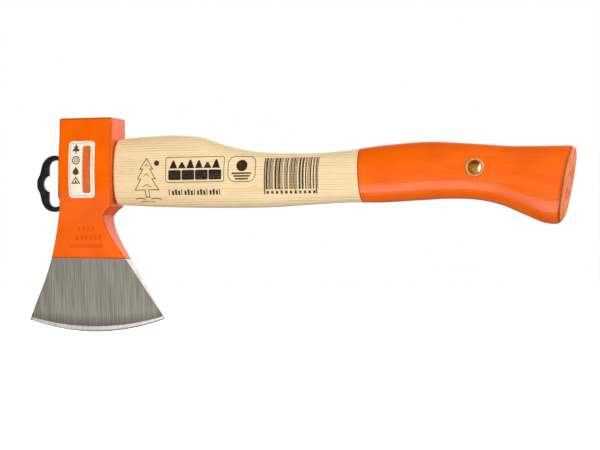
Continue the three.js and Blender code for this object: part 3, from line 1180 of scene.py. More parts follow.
@dataclass
class Head:
    """The forged head: poll, cheeks, beard, ground blade, honed bevel and eye."""

    width: float = 39.7
    poll: float = 148.1
    corner: float = 1.5
    edge_radius: float = 157.5
    edge_centre_x: float = 22.0
    toe_x: float = -27.6
    heel_x: float = 75.0
    eye_z: float = 110.0
    eye_half: Flat = (9.2, 20.2)
    eye_flare: float = 0.9
    squareness: float = 2.35
    lacquer: float = 0.1
    bare_half_edge: float = 0.12
    line_z: float = 50.87
    line_slope: float = 0.0164
    bevel_mid: float = 3.6
    bevel_toe: float = 2.3
    bevel_heel: float = 1.9
    # painted dark reflection at the edge: its least strength, the X over which it rises, and the
    # depth over which it fades
    edge_reflection_least: float = 0.4
    edge_reflection_rise: Flat = (-8, 22)
    edge_reflection_fade: Flat = (0.35, 0.95)
    dark_fade_x: float = 25.0
    stamp_depth: float = 0.25
    stamp_half: Flat = (1.0, 1.6)
    stamp_rows: tuple[tuple[float, float, float, int], ...] = (
        (13.4, 3.6, 71.4, 4), (11.8, 3.4, 65.2, 6),
    )  # each row's first X, pitch, Z and count
    stamp_bar: tuple[float, float, float, float] = (18.6, 59.4, 12.2, 1.1)  # X, Z, half sizes
    blade_flare: float = 0.101  # half thickness gained per mm beside the bevel
    hollow: float = 0.8  # the blade is rounded into the cheek where they are this close
    dent_depth: float = 0.07
    dent_size: float = 13.0
    blade: SmoothLine = SmoothLine((
        (3.6, 0.95), (13, 1.9), (27, 3.1), (42, 4.5), (54, 5.8), (62, 7.0), (70, 8.0), (79, 9.4),
        (86, 11.4), (93, 13.0), (101, 14.2), (110, 15.0),
    ))
    cheek: SmoothLine = SmoothLine((
        (60, 14.0), (92, 14.2), (104, 14.4), (115, 14.3), (124, 13.8), (132, 12.9), (139, 12.4),
        (149, 12.3),
    ))
    arc_steps: int = 5
    cheek_steps: int = 64

    def __post_init__(self) -> None:
        """Draws the front and back outlines, each as [height, X] going up."""
        toe, heel = (self.toe_x, self.edge_z(self.toe_x)), (self.heel_x, self.edge_z(self.heel_x))
        front = [toe, (-14.6, 35.8)] + bend((-14.6, 35.8), (-4.6, 59.5), (0, 91))
        back = [heel, (41.5, 59)] + bend((41.5, 59), (32.6, 72.3), (32.6, 80))
        back += bend((32.6, 80), (33.2, 83), (38.6, 86.4)) + [(self.width, 97)]
        self.front = [(z, x) for x, z in front]
        self.back = [(z, x) for x, z in back]

    def edge_z(self, x: float) -> float:
        """Height of the cutting edge at x."""
        return self.edge_radius - math.sqrt(self.edge_radius ** 2 - (x - self.edge_centre_x) ** 2)

    def depth(self, x: float, z: float) -> float:
        """How far a point of the blade is from the cutting edge."""
        return self.edge_radius - math.hypot(x - self.edge_centre_x, z - self.edge_radius)

    def bevel_height(self, x: float) -> float:
        """How high the honed bevel reaches above the edge at x.

        Args:
            x: The place along the edge.

        Returns:
            The height.
        """
        end_x, end = (self.toe_x, self.bevel_toe) if x < self.edge_centre_x else (
            self.heel_x, self.bevel_heel)
        share = (x - self.edge_centre_x) / (end_x - self.edge_centre_x)
        return self.bevel_mid + (end - self.bevel_mid) * share * share

    def lacquer_line(self, x: float) -> float:
        """Height where the lacquer was ground away, which runs slightly down to the heel."""
        return self.line_z - self.line_slope * x

    def half_thickness(self, x: float, z: float) -> float:
        """Half the head's thickness at a point of the cheek, coat included.

        Args:
            x: The point's X.
            z: The point's height.

        Returns:
            Half the thickness there.
        """
        depth, top = self.depth(x, z), self.bevel_height(x)
        start, start_half = self.blade.points[0]
        flat = self.blade.at(max(depth, start)) + min(depth - start, 0) * self.blade_flare
        if depth < top:
            face = start_half + (top - start) * self.blade_flare
            return self.bare_half_edge + (face - self.bare_half_edge) * max(depth, 0) / top
        swell = self.cheek.at(z)
        close = max(self.hollow - abs(flat - swell), 0) / self.hollow
        bare = min(flat, swell) - close * close * self.hollow / 4
        line = self.lacquer_line(x)
        uneven = noise.noise(Vector((x, 7.0, z)) / self.dent_size) * self.dent_depth
        uneven *= smoothstep(line, line + 12, z)
        return bare + uneven + self.lacquer * smoothstep(line - 0.06, line + 0.14, z)

    @staticmethod
    def outline_x(outline: Sequence[Flat], z: float) -> float:
        """X of an outline at height z.

        Args:
            outline: The outline, as [height, X] going up.
            z: The height.

        Returns:
            X there, held beyond its ends.
        """
        heights = [height for height, _ in outline]
        if z <= heights[0]:
            return outline[0][1]
        if z >= heights[-1]:
            return outline[-1][1]
        i = bisect_right(heights, z) - 1
        (z0, x0), (z1, x1) = outline[i], outline[i + 1]
        return x0 + (x1 - x0) * (z - z0) / (z1 - z0)

    def rows(self) -> list[Row]:
        """The rows from the cutting edge to the poll.

        Returns:
            The rows, going up.
        """
        edge = [
            Row(lambda x, part=part: self.edge_z(x) + self.bevel_height(x) * part)
            for part in (0.0, 0.1, 0.2, 0.4, 0.7, 0.97, 1.0, 1.08)
        ]

        def ground(x: float, part: float) -> float:
            """Height of the ground blade's row at x, as a part of its span."""
            low = self.edge_z(x) + self.bevel_height(x) * 1.08
            return low + (self.lacquer_line(x) - 0.1 - low) * part

        blade = [Row(lambda x, part=i / 28: ground(x, part)) for i in range(1, 29)]

        def above(x: float, rise: float) -> float:
            """Height of a row that rises above the lacquer line."""
            tilt = self.lacquer_line(x) - self.lacquer_line(self.edge_centre_x)
            return self.lacquer_line(self.edge_centre_x) + rise + tilt * math.exp(-rise / 8)

        low = self.lacquer_line(self.edge_centre_x)
        rises = [-0.03, 0.03, 0.1, 0.2, 0.6] + [2 + 1.6 * i for i in range(17)]
        heights = [80 + 0.45 * i for i in range(16)] + [88 + 1.83 * i for i in range(33)]
        rises += [z - low for z in heights if z < self.poll - self.corner - 0.4]
        cheeks = [Row(lambda x, rise=rise: above(x, rise)) for rise in rises]
        top = self.poll - self.corner
        arcs = [Row(lambda x: top, 90 - 90 * i / self.arc_steps) for i in range(self.arc_steps + 1)]
        return edge + blade + cheeks + arcs

    def place(self, column: int, row: Row) -> Vector:
        """Where a vertex of the near cheek goes.

        Args:
            column: Its column, counted from the front outline.
            row: Its row.

        Returns:
            Its place.
        """
        last = 2 * self.arc_steps + self.cheek_steps
        side = 1 if column > last / 2 else -1
        outline = self.back if side > 0 else self.front
        into = min(column, last - column) / self.arc_steps
        round_in = math.radians(min(into, 1.0) * 90)
        round_up = math.radians(row.round_over)
        z = row.height(self.edge_centre_x)
        for _ in range(7):
            x = self.outline_x(outline, z)
            z = row.height(x)
        radius = self.corner_radius(z)
        half = self.half_thickness(x, z)
        radius = min(radius, 0.7 * half)
        if into < 1:
            inner = Vector((x - side * radius, -(half - radius), z))
        else:
            other = self.outline_x(self.front, z), self.outline_x(self.back, z)
            share = (column - self.arc_steps) / self.cheek_steps
            x = other[0] + radius + (other[1] - other[0] - 2 * radius) * share
            z = row.height(x)
            inner = Vector((x, -(self.half_thickness(x, z) - radius), z))
        out = Vector((
            side * math.cos(round_in), -math.sin(round_in) * math.sin(round_up),
            math.cos(round_up),
        ))
        return inner + out.normalized() * radius

    def corner_radius(self, z: float) -> float:
        """Radius of the edges between the cheeks and the narrow sides."""
        return 0.5 + (self.corner - 0.5) * smoothstep(30, self.poll - self.corner, z)

    def off_edge(self, at: Vector) -> float:
        """How far a point is from the dark zone over the bevel, which fades to toe and heel."""
        return self.depth(at.x, at.z) + ((at.x - self.edge_centre_x) / self.dark_fade_x) ** 2

    def crease(self, at: Vector) -> float:
        """How near a point is to the middle of a rounded edge, from 0 to 1; the lacquer gets painted
        shade there.

        Args:
            at: The point.

        Returns:
            The nearness.
        """
        half = self.half_thickness(at.x, at.z)
        gaps = sorted((
            min(at.x - self.outline_x(self.front, at.z), self.outline_x(self.back, at.z) - at.x),
            half - abs(at.y), self.poll - at.z,
        ))
        radius = min(self.corner_radius(at.z), 0.7 * half)
        middle = 2 - math.sqrt(2)
        return min(max((1 - (gaps[0] + gaps[1]) / radius) / (1 - middle), 0.0), 1.0)

    def painted_edge_reflection(self, at: Vector) -> float:
        """How dark the painted reflection at the cutting edge is, from 0 to 1."""
        along = self.edge_reflection_least + (1 - self.edge_reflection_least) * smoothstep(*self.edge_reflection_rise, at.x)
        return along * (1 - smoothstep(*self.edge_reflection_fade, self.depth(at.x, at.z)))

    def stamps(self) -> list[Tooling]:
        """Shallow pockets for plain stamped marks: two rows of small squares over a bar.

        Returns:
            The cuts.
        """
        places = [(first + pitch * i, z, *self.stamp_half)
                  for first, pitch, z, count in self.stamp_rows for i in range(count)]
        places.append(self.stamp_bar)
        cuts = []
        for x, z, half_wide, half_tall in places:
            floor = self.half_thickness(x, z) - self.stamp_depth
            bm = block((x - half_wide, -floor - 1, z - half_tall),
                       (x + half_wide, -floor, z + half_tall))
            rise = self.half_thickness(x, z + half_tall) - self.half_thickness(x, z - half_tall)
            for vertex in bm.verts:
                vertex.co.y -= rise / 2 * (vertex.co.z - z) / half_tall
            cuts.append(Tooling(bm, finish=HeadFace.STAMP))
        return cuts

    def eye(self) -> Shape:
        """The eye, opening towards the top face, with a small chamfer at both mouths.

        Returns:
            The body to cut.
        """
        stations = (
            (-1.0, self.eye_flare + 1.7), (0.0, self.eye_flare + 0.7), (0.7, self.eye_flare),
            (self.width - 0.6, 0.0), (self.width, 0.6), (self.width + 1, 1.6),
        )

        def place(row: int, turn: float) -> Vector:
            """Where a vertex of the eye goes.

            Args:
                row: Its row.
                turn: Its place round the row in radians.

            Returns:
                Its place.
            """
            x, grow = stations[row]
            across = signed_power(math.cos(turn), 2 / self.squareness)
            up = signed_power(math.sin(turn), 2 / self.squareness)
            return Vector((
                x, across * (self.eye_half[0] + grow), self.eye_z + up * (self.eye_half[1] + grow),
            ))

        return bar(len(stations), 72, place)

    def build(self, bench: Bench) -> None:
        """Makes the head: one cheek as a grid, drawn through to the other, and the eye cut.

        Args:
            bench: Where the pieces are made.
        """
        rows = self.rows()
        columns = 2 * self.arc_steps + self.cheek_steps
        bm = bmesh.new()
        bmesh.ops.create_grid(bm, x_segments=columns, y_segments=len(rows) - 1, size=1)
        for vertex in bm.verts:
            column = round((vertex.co.x + 1) / 2 * columns)
            row = rows[round((vertex.co.y + 1) / 2 * (len(rows) - 1))]
            vertex.co = self.place(column, row)
        near = set(bm.verts)
        for vertex in draw_out(bm):
            vertex.co.y = -vertex.co.y
        across = [e for e in bm.edges if (e.verts[0] in near) != (e.verts[1] in near)]
        bmesh.ops.subdivide_edges(bm, edges=across, cuts=7)
        outward(bm)
        for face in bm.faces:
            centre = face.calc_center_median()
            line = self.lacquer_line(centre.x)
            if centre.z > line:
                narrow = abs(face.normal.y) < 0.4
                face.material_index = HeadFace.FORGED if narrow else HeadFace.CHEEK
            elif abs(face.normal.y) < 0.6 and self.depth(centre.x, centre.z) > 1.5:
                face.material_index = HeadFace.FILED
            elif self.depth(centre.x, centre.z) < self.bevel_height(centre.x) * 0.985:
                face.material_index = HeadFace.BEVEL
            else:
                face.material_index = HeadFace.BLADE
        finishes = (SprayLacquer(), GroundSteel(), HonedSteel(), PlainSteel(), FiledSteel(),
                    RawForging(), PooledLacquer())
        # The cutting-edge mark sets a painted dark reflection on the honed bevel.
        bench.finish("axe_head_forging", bm, finishes, Slot.HEAD, "axe_head",
                     [Tooling(self.eye(), finish=HeadFace.EYE), *self.stamps()], marks={
                         "edge_mm": self.off_edge,
                         # line_mm and crease set where the lacquer gets painted shade
                         "line_mm": lambda at: at.z - self.lacquer_line(at.x),
                         "crease": self.crease, "painted_edge_reflection": self.painted_edge_reflection,
                     })


# ---- Handle ----


@dataclass
class Handle:
    """The ash handle: tongue in the eye, shoulder, curved grip and knob."""

    head: Head
    eye_z: float = 110.0
    tongue_end: float = TONGUE_END
    slack: float = 0.3
    squareness: float = 2.35
    top: SmoothLine = SmoothLine((
        (46, 23.7), (60, 24.6), (84, 25.1), (102, 23.3), (120, 17.5), (140, 13.2), (163, 11.4),
        (185, 11), (206, 12.4), (231, 15.3), (264, 17.2), (297, 15.1), (321, 13.3), (366, 12.9),
    ))
    bottom: SmoothLine = SmoothLine((
        (46, -22.6), (71, -23.9), (111, -25), (150, -25.1), (180, -23.7), (206, -22.5),
        (231, -22.7), (256, -21.6), (278, -20.8), (297, -21.8), (313, -25.5), (329, -32.2),
        (341, -37.1), (350, -37.9), (366, -34.8),
    ))
    half_width: SmoothLine = SmoothLine((
        (46, 11.7), (62, 12.6), (100, 12.6), (150, 11.7), (216, 11.9), (264, 12.5), (300, 12.7),
        (336, 13.4), (366, 13.4),
    ))
    shoulder: tuple[tuple[float, float, float, float], ...] = (
        (40.0, 21.3, -21.3, 9.9), (40.15, 21.9, -21.65, 10.3), (40.5, 22.4, -21.9, 10.6),
        (41.0, 22.8, -22.2, 10.9), (41.7, 23.1, -22.4, 11.1), (43.5, 23.5, -22.6, 11.4),
    )
    body_start: float = 46.0
    end_x: float = 361.0
    end_corner_z: float = 119.0
    end_lean: float = math.tan(math.radians(10.7))
    lean_from: float = 322.0
    dip_x: float = 217.0
    dip_slope: float = 0.045
    coat: float = 0.14
    rim: float = 1.3
    rim_tall: float = 3.4
    rim_mark_in: float = 0.8
    rim_mark_half: float = 1.2
    # painted shadow on the wood next to the head: its strength, and the X over which it fades
    painted_seat_shadow: float = 0.85
    painted_seat_shadow_fade: Flat = (40.2, 41.6)
    skew_reach: float = 22.0
    step: float = 1.75
    sides: int = 96

    def dip_line(self, z: float) -> float:
        """X where the dipped lacquer ends at height z: the grip hung slightly askew."""
        return self.dip_x - self.dip_slope * (z - self.eye_z)

    def section(self, x: float) -> tuple[float, float, float]:
        """The section's top, bottom and half width at x.

        Args:
            x: The place along the handle.

        Returns:
            Top and bottom from the eye's middle line, and half the width.
        """
        if x < self.body_start:
            stations = ((39.7, 19.9, -19.9, 8.9),) + self.shoulder + ((
                self.body_start, self.top.points[0][1], self.bottom.points[0][1],
                self.half_width.points[0][1]),)
            if x <= stations[0][0]:
                grow = self.head.eye_flare * (1 - x / self.head.width) - self.slack
                half = self.head.eye_half[1] + grow
                return half, -half, self.head.eye_half[0] + grow
            i = max(k for k, station in enumerate(stations) if station[0] <= x)
            a, b = stations[i], stations[i + 1]
            t = (x - a[0]) / (b[0] - a[0])
            return tuple(p + (q - p) * t for p, q in zip(a[1:], b[1:]))
        return self.top.at(x), self.bottom.at(x), self.half_width.at(x)

    def rim_line(self, at: Vector) -> float:
        """How near a point is to where the knob's side turns into its end, from 0 to 1."""
        end = self.end_x + self.end_lean * (at.z - self.end_corner_z)
        return max(1 - abs(end - self.rim_mark_in - at.x) / self.rim_mark_half, 0.0)

    def side_y(self, x: float, z: float) -> float:
        """Y of the near side at a point, without any coat.

        Args:
            x: The point's X.
            z: The point's height.

        Returns:
            Its Y.
        """
        top, bottom, half = self.section(x)
        up = (z - self.eye_z - (top + bottom) / 2) / ((top - bottom) / 2)
        return -half * max(1 - abs(up) ** self.squareness, 0.0) ** (1 / self.squareness)

    def stations(self) -> list[tuple[float, float, float]]:
        """Rows from the tongue to the knob: base X, part of the rim, and share of the section.

        Returns:
            [X at the knob's upper corner, degrees round the rim from 0 to 90, share from 1 to 0].
        """
        xs = [self.tongue_end + i * (39.7 - self.tongue_end) / 8 for i in range(9)]
        xs += [station[0] for station in self.shoulder]
        count = round((self.dip_x - self.body_start) / self.step)
        xs += [self.body_start + i * (self.dip_x - self.body_start) / count for i in range(count)]
        xs += [self.dip_x - 0.08, self.dip_x + 0.02, self.dip_x + 0.12, self.dip_x + 0.35]
        stop = self.end_x - self.rim_tall - 0.3
        count = round((stop - self.dip_x) / self.step)
        xs += [self.dip_x + (i + 1) * (stop - self.dip_x) / count for i in range(count)]
        body = [(x, 0.0, 1.0) for x in xs]
        rim = [(self.end_x, 90 * i / 7, 1.0) for i in range(8)]
        face = [(self.end_x, 90.0, share) for share in
                (0.97, 0.93, 0.87, 0.8, 0.71, 0.62, 0.52, 0.42, 0.31, 0.2, 0.08)]
        return body + rim + face

    def place(self, station: tuple[float, float, float], turn: float) -> Vector:
        """Where a vertex of the handle goes.

        Args:
            station: Its row; see stations.
            turn: Its place round the section in radians.

        Returns:
            Its place.
        """
        base, degrees, share = station
        up = signed_power(math.sin(turn), 2 / self.squareness)
        across = signed_power(math.cos(turn), 2 / self.squareness)
        tall = self.rim + (self.rim_tall - self.rim) * abs(up) ** 4
        angle = math.radians(degrees)
        lean = smoothstep(self.lean_from, self.end_x - 6, base) * self.end_lean
        skew = -self.dip_slope * max(0.0, 1 - abs(base - self.dip_x) / self.skew_reach)
        x, z = base, self.eye_z
        for _ in range(5):
            top, bottom, half = self.section(x)
            coat = self.coat * smoothstep(self.dip_x - 0.05, self.dip_x + 0.3, base)
            inset = tall * (1 - math.cos(angle))
            z = self.eye_z + (top + bottom) / 2 + up * share * (
                (top - bottom) / 2 + coat - inset)
            x = base + lean * (z - self.end_corner_z) + skew * (z - self.eye_z)
            if base >= self.end_x:
                x -= tall * (1 - math.sin(angle))
        y = across * share * (half + coat - self.rim * (1 - math.cos(angle)))
        if share < 1:
            x += 0.22 * noise.noise(Vector((3.0, y, z)) / 3.2) * smoothstep(1.0, 0.9, share)
        return Vector((x, y, z))

    def build(self, bench: Bench, tools: Sequence[Tooling]) -> None:
        """Makes the handle as one turned bar, with the cuts for what goes into it.

        Args:
            bench: Where the piece is made.
            tools: The cuts.
        """
        stations = self.stations()
        bm = bar(len(stations), self.sides, lambda row, turn: self.place(stations[row], turn))
        for face in bm.faces:
            centre = face.calc_center_median()
            end = self.end_x + self.end_lean * (centre.z - self.end_corner_z)
            if centre.x > end - 0.45 and face.normal.x > 0.8:
                face.material_index = HandleFace.END
            elif centre.x > self.dip_line(centre.z):
                face.material_index = HandleFace.GRIP
        finishes = (Ash(), DippedGrip(), PaintedEndGrain())
        bench.finish("handle_ash_body", bm, finishes, Slot.HANDLE, "handle", tools, 38.0, {
            "dip_mm": lambda at: at.x - self.dip_line(at.z),
            # painted shadow where the shoulder meets the head
            "seat": lambda at: self.painted_seat_shadow * (1 - smoothstep(*self.painted_seat_shadow_fade, at.x)),
            "rim": self.rim_line,
        })


# ---- Wedges ----


@dataclass
class Wedges:
    """The wooden wedge in the tongue's kerf and the steel ring driven across it."""

    outer_x: float = TONGUE_END
    depth: float = 27.0
    half_thick: float = 2.2
    tip_half: float = 0.6
    ring_z: float = 121.2
    ring_radius: float = 6.2
    ring_wall: float = 1.4
    ring_tip: float = 0.3
    ring_depth: float = 12.0

    def kerf(self) -> Tooling:
        """The sawn kerf, a little wider than the wedge.

        Returns:
            The cut.
        """
        bm = block((self.outer_x - 1, -1, 70), (self.depth + 0.1, 1, 150))
        for vertex in bm.verts:
            half = self.half_thick if vertex.co.x < self.depth / 2 else self.tip_half
            vertex.co.y = math.copysign(half + 0.05, vertex.co.y)
        return Tooling(bm)

    def ring_profile(self, slack: float) -> list[Flat]:
        """The ring's section as [radius, X], grown by some slack.

        Args:
            slack: How much it is grown.

        Returns:
            The section.
        """
        middle = self.ring_radius - self.ring_wall / 2
        half, tip = self.ring_wall / 2 + slack, self.ring_tip / 2 + slack
        outer = self.outer_x - (1 if slack else 0)
        return [
            (middle - half, outer), (middle - tip, self.ring_depth + slack),
            (middle + tip, self.ring_depth + slack), (middle + half, outer),
        ]

    def groove(self) -> Tooling:
        """The groove that the ring sits in."""
        return Tooling(turned(self.ring_profile(0.06), Axis.X, Vector((0, 0, self.ring_z)),
                              closed=True))

    def build(self, bench: Bench) -> None:
        """Makes the ring, and gives the wooden wedge its finish.

        Args:
            bench: Where the pieces are made.
        """
        ring = turned(self.ring_profile(0.0), Axis.X, Vector((0, 0, self.ring_z)), closed=True)
        rims = [e for e in ring.edges if all(v.co.x < self.outer_x + 0.01 for v in e.verts)]
        bmesh.ops.bevel(ring, geom=rims, offset=0.2, segments=2, profile=0.5, affect="EDGES",
                        material=-1)
        bench.finish("ring_wedge_turned", ring, (PlainSteel(),), Slot.WEDGE_STEEL, "ring_wedge")
        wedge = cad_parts["wooden_wedge"]
        for place in wedge.material_slots:
            place.material = WedgeWood().material()
        log.info("wooden_wedge: CAD node kept, new finish")


# ---- Hanger ----


@dataclass(frozen=True)
class ScrewPlace:
    """Where one hanger screw goes, and which CAD node it stands for."""

    node: str
    y: float
    z: float


@dataclass
class Hanger:
    """The moulded hanging loop with its foot plate, and the two screws that hold it."""

    centre_z: float = 103.2
    foot_thick: float = 2.4
    foot_near: float = -0.3
    foot_half: Flat = (8.2, 12.0)
    foot_corner: float = 4.0
    loop_half_thick: float = 1.7
    loop_round: float = 0.8
    outer: tuple[tuple[Flat, Flat, Flat], ...] = (
        ((-1.9, 16.5), (-4.6, 19.8), (-8.4, 19.8)),
        ((-13.8, 19.8), (-17.6, 16.4), (-18.8, 11.0)),
        ((-19.6, 7.2), (-20.0, 6.0), (-20.9, 4.8)),
        ((-21.7, 3.4), (-22.0, 2.0), (-22.0, 0.0)),
    )
    slot: tuple[tuple[Flat, Flat, Flat], ...] = (
        ((-3.0, 14.0), (-4.9, 16.3), (-7.4, 16.3)),
        ((-11.1, 16.3), (-13.0, 14.4), (-13.0, 10.5)),
        ((-13.0, 8.5), (-13.0, 7.0), (-13.0, 5.6)),
        ((-15.8, 5.0), (-17.3, 2.8), (-17.3, 0.0)),
    )
    screws: tuple[ScrewPlace, ...] = (
        ScrewPlace("hanger_screw_upper", 5.0, 111.2), ScrewPlace("hanger_screw_lower", -5.0, 95.2),
    )
    screw_head: float = 2.6
    screw_head_depth: float = 1.7
    screw_shank: float = 1.25
    screw_thread: float = 0.35
    screw_pitch: float = 1.1
    screw_length: float = 15.0

    @property
    def face_x(self) -> float:
        """X of the foot plate's outer face."""
        return self.foot_near - self.foot_thick

    def path(self, start: Flat, arcs: Sequence[tuple[Flat, Flat, Flat]]) -> list[Flat]:
        """A path mirrored in the hanger's middle line, as points of [X, Z].

        Args:
            start: Where it starts, from the middle line.
            arcs: Its curves, each as two controls and an end.

        Returns:
            The path.
        """
        upper = [start]
        for first, second, end in arcs:
            upper += curve(upper[-1], first, second, end, 12)
        lower = [(u, -v) for u, v in reversed(upper[:-1])]
        return [(u, self.centre_z + v) for u, v in upper + lower]

    def loop(self) -> Shape:
        """The loop: two outlines bridged, drawn to its thickness, with its edges rounded.

        Returns:
            The loop.
        """
        bm = bmesh.new()
        rims = []
        for points in (self.path((-1.5, 11.6), self.outer), self.path((-3.0, 10.8), self.slot)):
            verts = [bm.verts.new((x, -self.loop_half_thick, z)) for x, z in points]
            rims += [bm.edges.new((a, b)) for a, b in zip(verts, verts[1:] + verts[:1])]
        bmesh.ops.bridge_loops(bm, edges=rims)
        for vertex in draw_out(bm):
            vertex.co.y += 2 * self.loop_half_thick
        outward(bm)
        hard = [e for e in bm.edges if len(e.link_faces) == 2
                and e.calc_face_angle() > math.radians(60)
                and abs(e.verts[0].co.y - e.verts[1].co.y) < 0.01]
        bmesh.ops.bevel(bm, geom=hard, offset=self.loop_round, segments=4, profile=0.5,
                        affect="EDGES", material=-1)
        return bm

    def foot(self) -> Shape:
        """The foot plate, its outer edge rounded.

        Returns:
            The plate.
        """
        bm = bmesh.new()
        outline = rounded((0, self.centre_z), self.foot_half, self.foot_corner)
        verts = [bm.verts.new((self.foot_near, y, z)) for y, z in outline]
        bmesh.ops.contextual_create(bm, geom=verts)
        for vertex in draw_out(bm):
            vertex.co.x -= self.foot_thick
        outward(bm)
        outer = [e for e in bm.edges if all(v.co.x < self.face_x + 0.01 for v in e.verts)]
        bmesh.ops.bevel(bm, geom=outer, offset=0.7, segments=3, profile=0.5, affect="EDGES",
                        material=-1)
        return bm

    def hole(self, place: ScrewPlace) -> Tooling:
        """The countersunk hole for a screw, in the foot plate and the handle.

        Args:
            place: Which screw.

        Returns:
            The cut.
        """
        slack = 0.06
        profile = [
            (0.0, -0.5), (self.screw_head + slack + 0.3, -0.5), (self.screw_head + slack, 0.05),
            (self.screw_shank + self.screw_thread + slack, self.screw_head_depth),
            (self.screw_shank + self.screw_thread + slack, self.screw_length - 2.2),
            (0.0, self.screw_length + 0.3),
        ]
        return Tooling(turned(profile, Axis.X, Vector((self.face_x, place.y, place.z)), 40))

    def screw(self, place: ScrewPlace) -> Shape:
        """A countersunk wood screw: flat head, tapered neck, a thread that runs out at its tip.

        Args:
            place: Which screw.

        Returns:
            The screw.
        """
        neck = [(0.0, 0.02), (self.screw_head * 0.6, 0.0), (self.screw_head - 0.12, 0.0),
                (self.screw_head, 0.1), (self.screw_head, 0.22),
                (self.screw_shank + 0.1, self.screw_head_depth)]
        rows = 76
        start, end = self.screw_head_depth + 0.8, self.screw_length

        def place_vertex(row: int, turn: float) -> Vector:
            """Where a vertex of the screw goes.

            Args:
                row: Its row.
                turn: Its place round the row in radians.

            Returns:
                Its place.
            """
            if row < len(neck):
                radius, along = neck[row]
                radius = max(radius, 0.02)
            else:
                share = (row - len(neck)) / (rows - len(neck) - 1)
                along = start + (end - start) * share
                taper = 1 - smoothstep(0.72, 1.0, share) * 0.97
                phase = (along / self.screw_pitch - turn / math.tau) % 1.0
                crest = max(0.0, 1 - abs(phase - 0.5) * 4)
                radius = (self.screw_shank + self.screw_thread * crest) * taper
            return Vector((
                self.face_x + along, place.y + radius * math.cos(turn),
                place.z + radius * math.sin(turn),
            ))

        return bar(rows, 32, place_vertex)

    def cross(self, place: ScrewPlace) -> list[Tooling]:
        """The cross recess in a screw's head, its two blades tapering inwards.

        Args:
            place: Which screw.

        Returns:
            The two cuts.
        """
        blades = []
        for angle in (20, 110):
            bm = block((self.face_x - 0.5, -1.45, -0.33), (self.face_x + 1.2, 1.45, 0.33))
            for vertex in bm.verts:
                if vertex.co.x > self.face_x:
                    vertex.co.y *= 0.45
                    vertex.co.z *= 0.6
            bmesh.ops.rotate(bm, verts=bm.verts, cent=(0, 0, 0),
                             matrix=Matrix.Rotation(math.radians(angle), 3, "X"))
            bmesh.ops.translate(bm, verts=bm.verts, vec=(0, place.y, place.z))
            blades.append(Tooling(bm))
        return blades

    def build(self, bench: Bench) -> None:
        """Makes the hanger and its two screws.

        Args:
            bench: Where the pieces are made.
        """
        tools = [Tooling(self.foot(), Joining.WELD)] + [self.hole(place) for place in self.screws]
        bench.finish("hanger_moulding", self.loop(), (MouldedPlastic(),), Slot.HANGER, "hanger",
                     tools)
        for place in self.screws:
            bench.finish(f"{place.node}_turned", self.screw(place), (ZincPlate(),), Slot.SCREW,
                         place.node, self.cross(place))


# ---- Eyelet ----


@dataclass
class Eyelet:
    """The brass lanyard eyelet: a flanged tube, and the ring that it is set into."""

    x: float = 297.4
    z: float = 109.1
    bore: float = 4.4
    tube: float = 4.95
    flange: float = 6.5
    seat_y: float = 12.15
    face_y: float = 13.5

    def arc(self, centre: Flat, radii: Flat, start: float, end: float, steps: int) -> list[Flat]:
        """Points of an oval arc, for a profile of [radius, Y]; angles in degrees.

        Args:
            centre: Its middle.
            radii: Its half sizes.
            start: Where it starts.
            end: Where it ends.
            steps: How many steps.

        Returns:
            The points.
        """
        points = []
        for i in range(steps + 1):
            angle = math.radians(start + (end - start) * i / steps)
            points.append((centre[0] + radii[0] * math.cos(angle),
                           centre[1] + radii[1] * math.sin(angle)))
        return points

    def barrel(self) -> Shape:
        """The tube, with a domed flange on the near side and its far end rolled over.

        Returns:
            The tube.
        """
        middle = (self.bore + self.flange) / 2
        dome = (self.flange - self.bore) / 2
        near = self.arc((middle, -self.seat_y), (dome, self.face_y - self.seat_y), -180, 0, 14)
        lip = 0.5 * (self.tube + 0.75 - self.bore)
        far = self.arc((self.bore + lip, self.face_y - 0.5), (lip, 0.5), 0, 180, 8)
        profile = near + [(self.tube, -self.seat_y), (self.tube, self.face_y - 0.5)] + far[1:]
        return turned(profile, Axis.Y, Vector((self.x, 0, self.z)), 72, closed=True)

    def ring(self) -> Shape:
        """The far ring: a domed washer round the tube's end.

        Returns:
            The ring.
        """
        inner = self.tube + 0.1
        middle, dome = (inner + self.flange) / 2, (self.flange - inner) / 2
        crown = self.arc((middle, self.seat_y), (dome, self.face_y - 0.7 - self.seat_y), 0, 180, 12)
        return turned(crown, Axis.Y, Vector((self.x, 0, self.z)), 72, closed=True)

    def holes(self) -> list[Tooling]:
        """The cuts for it in the handle: the through hole and a seat on each side.

        Returns:
            The cuts.
        """
        centre = Vector((self.x, 0, self.z))
        cuts = []
        for radius, low, high in (
            (self.tube + 0.05, -20.0, 20.0), (self.flange + 0.1, -20.0, -self.seat_y),
            (self.flange + 0.1, self.seat_y, 20.0),
        ):
            profile = [(0.0, low), (radius, low), (radius, high), (0.0, high)]
            cuts.append(Tooling(turned(profile, Axis.Y, centre, 72)))
        return cuts

    def build(self, bench: Bench) -> None:
        """Makes the tube and the ring.

        Args:
            bench: Where the pieces are made.
        """
        barrel = self.barrel()
        for face in barrel.faces:
            centre = face.calc_center_median()
            radius = math.hypot(centre.x - self.x, centre.z - self.z)
            # The bore gets the darker brass: painted shade inside the tube.
            face.material_index = int(radius < self.bore + 0.12 and abs(centre.y) < self.seat_y)
        bench.finish("eyelet_barrel_drawn", barrel, (DullBrass(), ShadedBoreBrass()), Slot.EYELET,
                     "eyelet_barrel")
        bench.finish("eyelet_ring_pressed", self.ring(), (DullBrass(),), Slot.EYELET,
                     "eyelet_ring")


# ---- Label and prints ----


